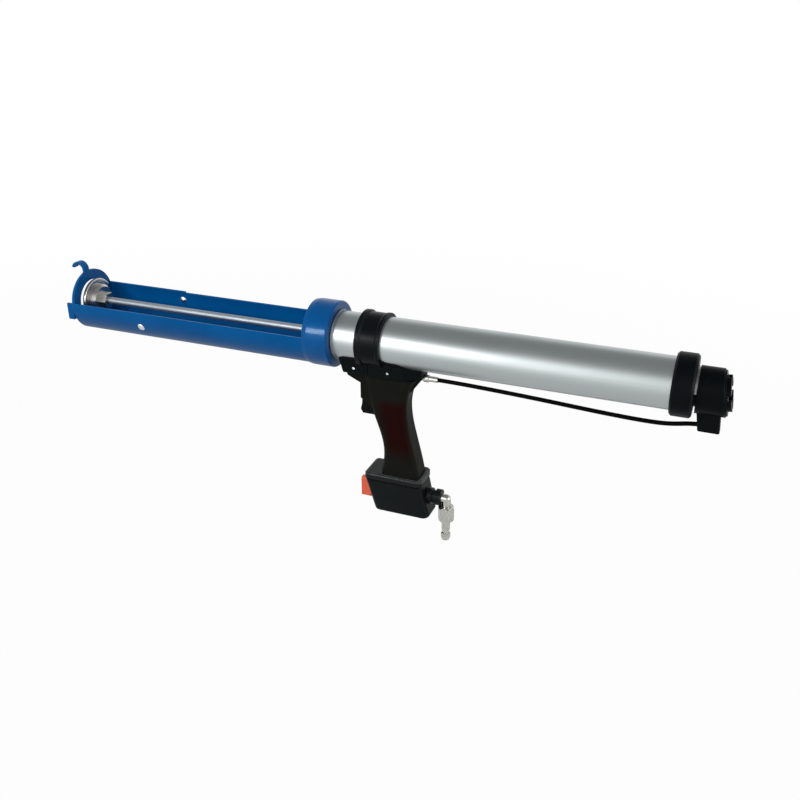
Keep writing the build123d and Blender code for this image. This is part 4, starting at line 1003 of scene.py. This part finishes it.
@dataclass
class Exhaust(Assembly):
    """Exhaust valve behind the cap: clip, housing with the hose lug, and cover with its four screws."""

    face_x: float = 720.6 * MM
    face_z: float = -2.4 * MM
    slant: float = 9.0
    cover_floor: float = 1.2 * MM
    screw_pitch_radius: float = 14.8 * MM
    screw_count: int = 4
    screw: FastenerSize = FastenerSize(
        head_radius=2.7 * MM, head_height=1.8 * MM, dome_radius=7.0 * MM,
        shank_radius=1.5 * MM, shank_length=11.0 * MM,
        recess=Recess.HEX, recess_width=3.0 * MM, recess_depth=1.2 * MM,
    )

    def build(self) -> None:
        """Dress the valve and set its screws on the slanted face."""
        self.dress(CLIP, "exhaust_spacer")
        self.dress(CAP_BLACK, "exhaust_housing", "exhaust_cover", "hose_collet")
        self.dress(RUBBER, "exhaust_diaphragm")
        outwards = Vector((cos(radians(self.slant)), 0.0, sin(radians(self.slant))))
        upwards = Vector((-outwards.z, 0.0, outwards.x))
        sideways = Vector((0.0, 1.0, 0.0))
        middle = Vector((self.face_x, 0.0, self.face_z)) + outwards * self.cover_floor
        places = []
        for index in range(self.screw_count):
            turn = 2.0 * pi * index / self.screw_count
            seat = middle + (sideways * cos(turn) + upwards * sin(turn)) * self.screw_pitch_radius
            places.append(Place(seat, outwards))
        self.set_out("cover_screws", "tool", self.screw, places, BLACKENED, Slot.BLACK)


@dataclass
class Grip(Assembly):
    """Clamp band, moulded grip halves with their cross screws, trigger and the valve inside."""

    screw: FastenerSize = FastenerSize(
        head_radius=2.1 * MM, head_height=2.2 * MM, dome_radius=3.2 * MM,
        shank_radius=1.5 * MM, shank_length=33.0 * MM,
        recess=Recess.CROSS, recess_width=2.4 * MM, recess_depth=0.8 * MM,
    )
    spring: CoilSize = CoilSize(outer_radius=3.2 * MM, length=6.9 * MM, wire_radius=0.45 * MM, turns=3.5)
    spool_travel: float = 3.25 * MM
    barrel_radius: float = 26.0 * MM
    lip_clearance: float = 0.08 * MM
    lip_thickness: float = 1.2 * MM
    lip_foot: float = 39.0
    lip_root: float = 43.0
    lip_end: float = 44.0
    lip_top: float = 53.0
    lip_nose: float = 2.5
    lip_front: float = 22.8 * MM
    lip_rear: float = 23.0 * MM
    lip_taper: float = 9.0 * MM
    web_top: float = 69.0
    web_length: float = 9.0 * MM
    lip_steps: int = 28
    saddle_half: float = 18.0 * MM
    panel_proud: float = 0.9 * MM
    panel_sink: float = 0.3 * MM
    panel_bevel: float = 0.5 * MM
    panel_low: float = -34.0 * MM
    panel_top: float = -21.0 * MM
    panel_spans: tuple[tuple[float, float], ...] = ((351.5 * MM, 364.6 * MM), (392.6 * MM, 403.5 * MM))

    def build(self) -> None:
        """Dress the grip, set the screws and spring where their solids are, and add the saddle's trim."""
        self.dress(BAND_BLACK, "clamp_band")
        self.dress(GRIP_BLACK, "grip_left", "grip_right")
        self.dress(CAP_BLACK, "trigger", "supply_tube")
        self.dress(ZINC, "grip_nuts", "trigger_pin")
        self.dress(BARREL, "valve_body", "valve_plug")
        self.dress(ROD, "valve_spool")
        self.dress(RUBBER, "spool_seals")
        low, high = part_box("grip_screws")
        seat_y = low[1] + self.screw.head_height
        middle_z = (low[2] + high[2]) / 2
        places = []
        for x in (low[0] + self.screw.head_radius, high[0] - self.screw.head_radius):
            places.append(Place(Vector((x, seat_y, middle_z)), Vector((0.0, -1.0, 0.0))))
        self.set_out("grip_screws", "tool", self.screw, places, ZINC, Slot.ZINC)
        self.make_spring()
        self.make_lips()
        self.make_panels()

    def make_spring(self) -> None:
        """Return spring of the valve, which the spool presses together against the plug."""
        low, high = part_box("valve_spring")
        seat = Vector((high[0], (low[1] + high[1]) / 2, (low[2] + high[2]) / 2))
        forwards = Vector((-1.0, 0.0, 0.0))
        coil = self.set_out("valve_spring", "tool", self.spring, [Place(seat, forwards)], ROD, Slot.STEEL)
        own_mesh(coil)

    def lip_angle(self, ahead: float, behind: float) -> float:
        """Height of the lip on the barrel, in degrees from straight below the axis.

        Args:
            ahead: Distance to the lip's outer end.
            behind: Distance from the band.

        Returns:
            The angle: a round web rises to the band, and the outer end tapers off.
        """
        web = max(0.0, 1.0 - behind / self.web_length)
        rise = (self.web_top - self.lip_top) * (1.0 - (1.0 - web * web) ** 0.5)
        taper = max(0.0, 1.0 - ahead / self.lip_taper)
        return self.lip_top + rise - (self.lip_top - self.lip_end) * taper * taper

    def lip_section(self, x: float, top: float, side: float) -> Ring:
        """Four corners of the lip at one place along the barrel.

        Args:
            x: Place along the barrel.
            top: Height of the lip in degrees.
            side: 1 on the right and -1 on the left.

        Returns:
            The corners in order round the section.
        """
        inner = self.barrel_radius + self.lip_clearance
        outer = inner + self.lip_thickness
        nose = top - self.lip_nose
        polar = ((inner, self.lip_root), (inner, top), (outer, nose), (inner, self.lip_foot))
        corners = []
        for radius, angle in polar:
            corners.append((x, side * radius * sin(radians(angle)), -radius * cos(radians(angle))))
        return corners

    def make_lips(self) -> None:
        """Thin lips of the saddle along the barrel, which rise behind the band in a round web."""
        low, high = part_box("clamp_band")
        runs = ((low[0], -1.0, self.lip_front, False), (high[0], 1.0, self.lip_rear, True))
        bars = []
        for side in (-1.0, 1.0):
            for start, way, reach, webbed in runs:
                rings = []
                for step in range(self.lip_steps + 1):
                    along = reach * step / self.lip_steps
                    behind = along if webbed else self.web_length
                    top = self.lip_angle(reach - along, behind)
                    rings.append(self.lip_section(start + way * along, top, side))
                bars.append(rings)
        self.add_trim("saddle_lips", bars)

    def make_panels(self) -> None:
        """Low panels on the saddle's sides, each a groove away from the pad round the rear screw."""
        foot = self.saddle_half - self.panel_sink
        face = self.saddle_half + self.panel_proud
        bars = []
        for side in (-1.0, 1.0):
            for start, end in self.panel_spans:
                rings = []
                for level, inset in ((foot, 0.0), (face, self.panel_bevel)):
                    front, rear = start + inset, end - inset
                    low, top = self.panel_low + inset, self.panel_top - inset
                    outline = ((front, low), (rear, low), (rear, top), (front, top))
                    rings.append([(x, side * level, z) for x, z in outline])
                bars.append(rings)
        self.add_trim("saddle_panels", bars)

    def add_trim(self, name: str, bars: list[list[Ring]]) -> None:
        """Add one piece of the grip's moulding.

        Args:
            name: The piece's name.
            bars: Its bars, each as the rings of corners along it.
        """
        shape = bmesh.new()
        for rings in bars:
            loops = [[shape.verts.new(corner) for corner in ring] for ring in rings]
            for near, far in zip(loops, loops[1:]):
                for index, corner in enumerate(near):
                    shape.faces.new((near[index - 1], corner, far[index], far[index - 1]))
            shape.faces.new(loops[0])
            shape.faces.new(loops[-1])
        bmesh.ops.recalc_face_normals(shape, faces=shape.faces)
        mesh = bpy.data.meshes.new(name)
        shape.to_mesh(mesh)
        shape.free()
        mesh.materials.append(GRIP_BLACK.material())
        trim = add_object(name, mesh)
        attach(trim, "tool")
        LOG.info("built %s", name)


@dataclass
class Base(Assembly):
    """Base under the grip: lid, gasket, regulator housing with its screws, and regulator."""

    screw: FastenerSize = FastenerSize(
        head_radius=2.8 * MM, head_height=2.0 * MM, dome_radius=5.0 * MM,
        shank_radius=1.5 * MM, shank_length=54.0 * MM,
        recess=Recess.CROSS, recess_width=3.4 * MM, recess_depth=1.1 * MM,
    )
    spring: CoilSize = CoilSize(outer_radius=5.5 * MM, length=12.6 * MM, wire_radius=0.9 * MM, turns=4.5)

    def build(self) -> None:
        """Dress the base and set its spring and screws where their solids are."""
        self.dress(LID_BLACK, "base_lid")
        self.dress(BASE_BLACK, "base_housing")
        self.dress(RUBBER, "base_gasket", "regulator_diaphragm")
        self.dress(KNOB_ORANGE, "regulator_knob")
        self.dress(BARREL, "regulator_stem")
        low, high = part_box("regulator_spring")
        seat = Vector((low[0], (low[1] + high[1]) / 2, (low[2] + high[2]) / 2))
        backwards = Vector((1.0, 0.0, 0.0))
        self.set_out("regulator_spring", "tool", self.spring, [Place(seat, backwards)], ROD, Slot.STEEL)
        low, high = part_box("base_screws")
        seat_z = low[2] + self.screw.head_height
        places = []
        for x in (low[0] + self.screw.head_radius, high[0] - self.screw.head_radius):
            for y in (low[1] + self.screw.head_radius, high[1] - self.screw.head_radius):
                places.append(Place(Vector((x, y, seat_z)), Vector((0.0, 0.0, -1.0))))
        self.set_out("base_screws", "tool", self.screw, places, ZINC, Slot.ZINC)


class Inlet(Assembly):
    """Air inlet: grooved bush, swivel elbow, hex body and quick-connect plug."""

    def build(self) -> None:
        """Dress the inlet."""
        self.dress(BASE_BLACK, "inlet_bush")
        self.dress(NICKEL, "inlet_elbow", "inlet_hex", "inlet_plug")


@dataclass
class AirHose(Assembly):
    """Thin black hose from the fitting in the saddle's tail to the lug under the exhaust valve."""

    radius: float = 2.25 * MM
    length: float = 279.7 * MM
    round_steps: int = 6
    span_steps: int = 12
    order: int = 3
    points: tuple[tuple[float, float], ...] = (
        (429.0, -35.7), (452.0, -35.7), (492.34, -36.87), (548.70, -39.27), (605.06, -42.48),
        (647.19, -43.96), (673.42, -43.29), (696.02, -38.2), (708.02, -38.2),
    )

    def build(self) -> None:
        """Dress the fitting and make the hose as one smooth curve."""
        self.dress(NICKEL, "hose_fitting")
        curve = bpy.data.curves.new("hose", "CURVE")
        curve.dimensions = "3D"
        curve.bevel_depth = self.radius
        curve.bevel_resolution = self.round_steps
        curve.resolution_u = self.span_steps
        curve.use_fill_caps = True
        curve.materials.append(RUBBER.material())
        spline = curve.splines.new("NURBS")
        spline.points.add(len(self.points) - 1)
        for point, (x, z) in zip(spline.points, self.points):
            point.co = (x * MM, 0.0, z * MM, 1.0)
        spline.order_u = self.order
        spline.use_endpoint_u = True
        hose = add_object("air_hose_run", curve)
        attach(hose, "tool")
        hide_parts("air_hose")
        LOG.info("built air_hose")


def turned_to(at: Triple, aim: Triple) -> Euler:
    """Rotation of a camera or lamp at one point that faces another."""
    return (Vector(aim) - Vector(at)).to_track_quat("-Z", "Y").to_euler()


@dataclass(frozen=True)
class Lamp:
    """One soft rectangular lamp: its place, the point that it faces, its size and its power."""

    name: str
    at: Triple
    aim: Triple
    width: float
    height: float
    watts: float
    mirrored: bool = True

    def build(self) -> None:
        """Add the lamp, which shows in reflections only where it is mirrored."""
        data = bpy.data.lights.new(self.name, "AREA")
        data.shape = "RECTANGLE"
        data.size = self.width
        data.size_y = self.height
        data.energy = self.watts
        lamp = add_object(self.name, data)
        lamp.location = self.at
        lamp.rotation_euler = turned_to(self.at, self.aim)
        lamp.visible_glossy = self.mirrored


@dataclass
class Studio:
    """Plain white studio: floor, world, soft lamps and the camera at the photograph's angle."""

    target: Triple = (0.394, 0.0, -0.06623)
    camera_at: Triple = (0.72473, -0.83145, 0.35477)
    lens: float = 41.26
    sensor: float = 36.0
    floor_z: float = -0.42
    floor_reach: float = 6.0
    floor_tone: float = 0.42
    floor_roughness: float = 0.9
    shadow_reach: float = 0.8
    shadow_share: float = 0.97
    mirror_reach: float = 0.4
    mirror_share: float = 0.42
    white_reach: float = 2.2
    room: float = 0.36
    ceiling: float = 0.30
    ceiling_start: float = 0.30
    ceiling_end: float = 0.82
    lamps: tuple[Lamp, ...] = (
        Lamp("front_softbox", (0.04, -1.05, 0.22), (0.30, 0.0, 0.0), 0.75, 0.75, watts=1.7),
        Lamp("bare_bulb", (-0.16, -0.97, 0.35), (0.31, 0.0, 0.0), 0.05, 0.28, watts=3.6),
        Lamp("side_strip", (1.6, -0.12, 0.15), (0.40, 0.0, 0.0), 0.2, 0.5, watts=4.4),
        Lamp("front_fill", (0.30, -1.0, 0.85), (0.35, 0.0, -0.05), 1.0, 0.8, watts=10.0, mirrored=False),
        Lamp("back_fill", (0.40, 1.1, 0.75), (0.35, 0.0, -0.05), 1.0, 0.8, watts=7.0, mirrored=False),
    )

    def build(self) -> None:
        """Set up the whole stage."""
        self.make_camera()
        self.make_world()
        self.make_floor()
        for lamp in self.lamps:
            lamp.build()
        bpy.context.scene.view_settings.view_transform = "Standard"
        LOG.info("built studio")

    def make_camera(self) -> None:
        """Camera at the photograph's angle."""
        data = bpy.data.cameras.new("photo_camera")
        data.lens = self.lens
        data.sensor_width = self.sensor
        camera = add_object("photo_camera", data)
        camera.location = self.camera_at
        camera.rotation_euler = turned_to(self.camera_at, self.target)
        bpy.context.scene.camera = camera

    def make_world(self) -> None:
        """White backdrop, a darker ceiling in reflections and an even room for the rest of the light."""
        world = bpy.data.worlds.new("studio_world")
        bpy.context.scene.world = world
        world.use_nodes = True
        sheet = NodeSheet(world.node_tree)
        seen, mirror = sheet.rays()
        way = sheet.node("ShaderNodeTexCoord", {}, "Generated")
        height = sheet.node("ShaderNodeSeparateXYZ", {0: way}, "Z")
        grade = height.ramp(self.ceiling_start, self.ceiling_end, 1.0, self.ceiling)
        rest = 1.0 - seen - mirror
        background = world.node_tree.nodes["Background"]
        sheet.feed(background.inputs["Color"], WHITE)
        sheet.feed(background.inputs["Strength"], seen + mirror * grade + rest * self.room)

    def make_floor(self) -> None:
        """Pale floor below the tool: white to the camera apart from a faint shadow, and clear from below."""
        mesh = bpy.data.meshes.new("floor")
        reach, z = self.floor_reach, self.floor_z
        corners = [(-reach, -reach, z), (reach, -reach, z), (reach, reach, z), (-reach, reach, z)]
        mesh.from_pydata(corners, [], [(0, 1, 2, 3)])
        floor = add_object("floor", mesh)
        sheet = ShaderSheet("floor_white")
        tone = (self.floor_tone, self.floor_tone, self.floor_tone)
        sheet.set(Base_Color=tone, Roughness=self.floor_roughness, Specular_IOR_Level=0.0)
        x, y, _ = sheet.axes()
        distance = (x * x + y * y) ** 0.5
        seen, mirror = sheet.rays()
        direct = distance.ramp(self.shadow_reach, self.white_reach, self.shadow_share)
        mirrored = distance.ramp(self.mirror_reach, self.white_reach, self.mirror_share)
        share = seen * direct + mirror * mirrored
        glow = sheet.node("ShaderNodeEmission", {"Color": WHITE})
        diffuse = Wire(sheet, sheet.shader.outputs[0])
        upper = sheet.node("ShaderNodeMixShader", {0: share, 1: diffuse, 2: glow})
        underside = sheet.node("ShaderNodeNewGeometry", {}, "Backfacing")
        clear = sheet.node("ShaderNodeBsdfTransparent", {})
        surface = sheet.node("ShaderNodeMixShader", {0: underside, 1: upper, 2: clear})
        sheet.feed(sheet.tree.nodes["Material Output"].inputs["Surface"], surface)
        mesh.materials.append(sheet.material)


def main() -> None:
    """Build every sub-assembly in order."""
    logging.basicConfig(level=logging.INFO)
    for part in (Studio(), AirHose(), Cradle(), Ram(), Cylinder(), Exhaust(), Grip(), Base(), Inlet()):
        part.build()


if __name__ == "__main__":
    main()
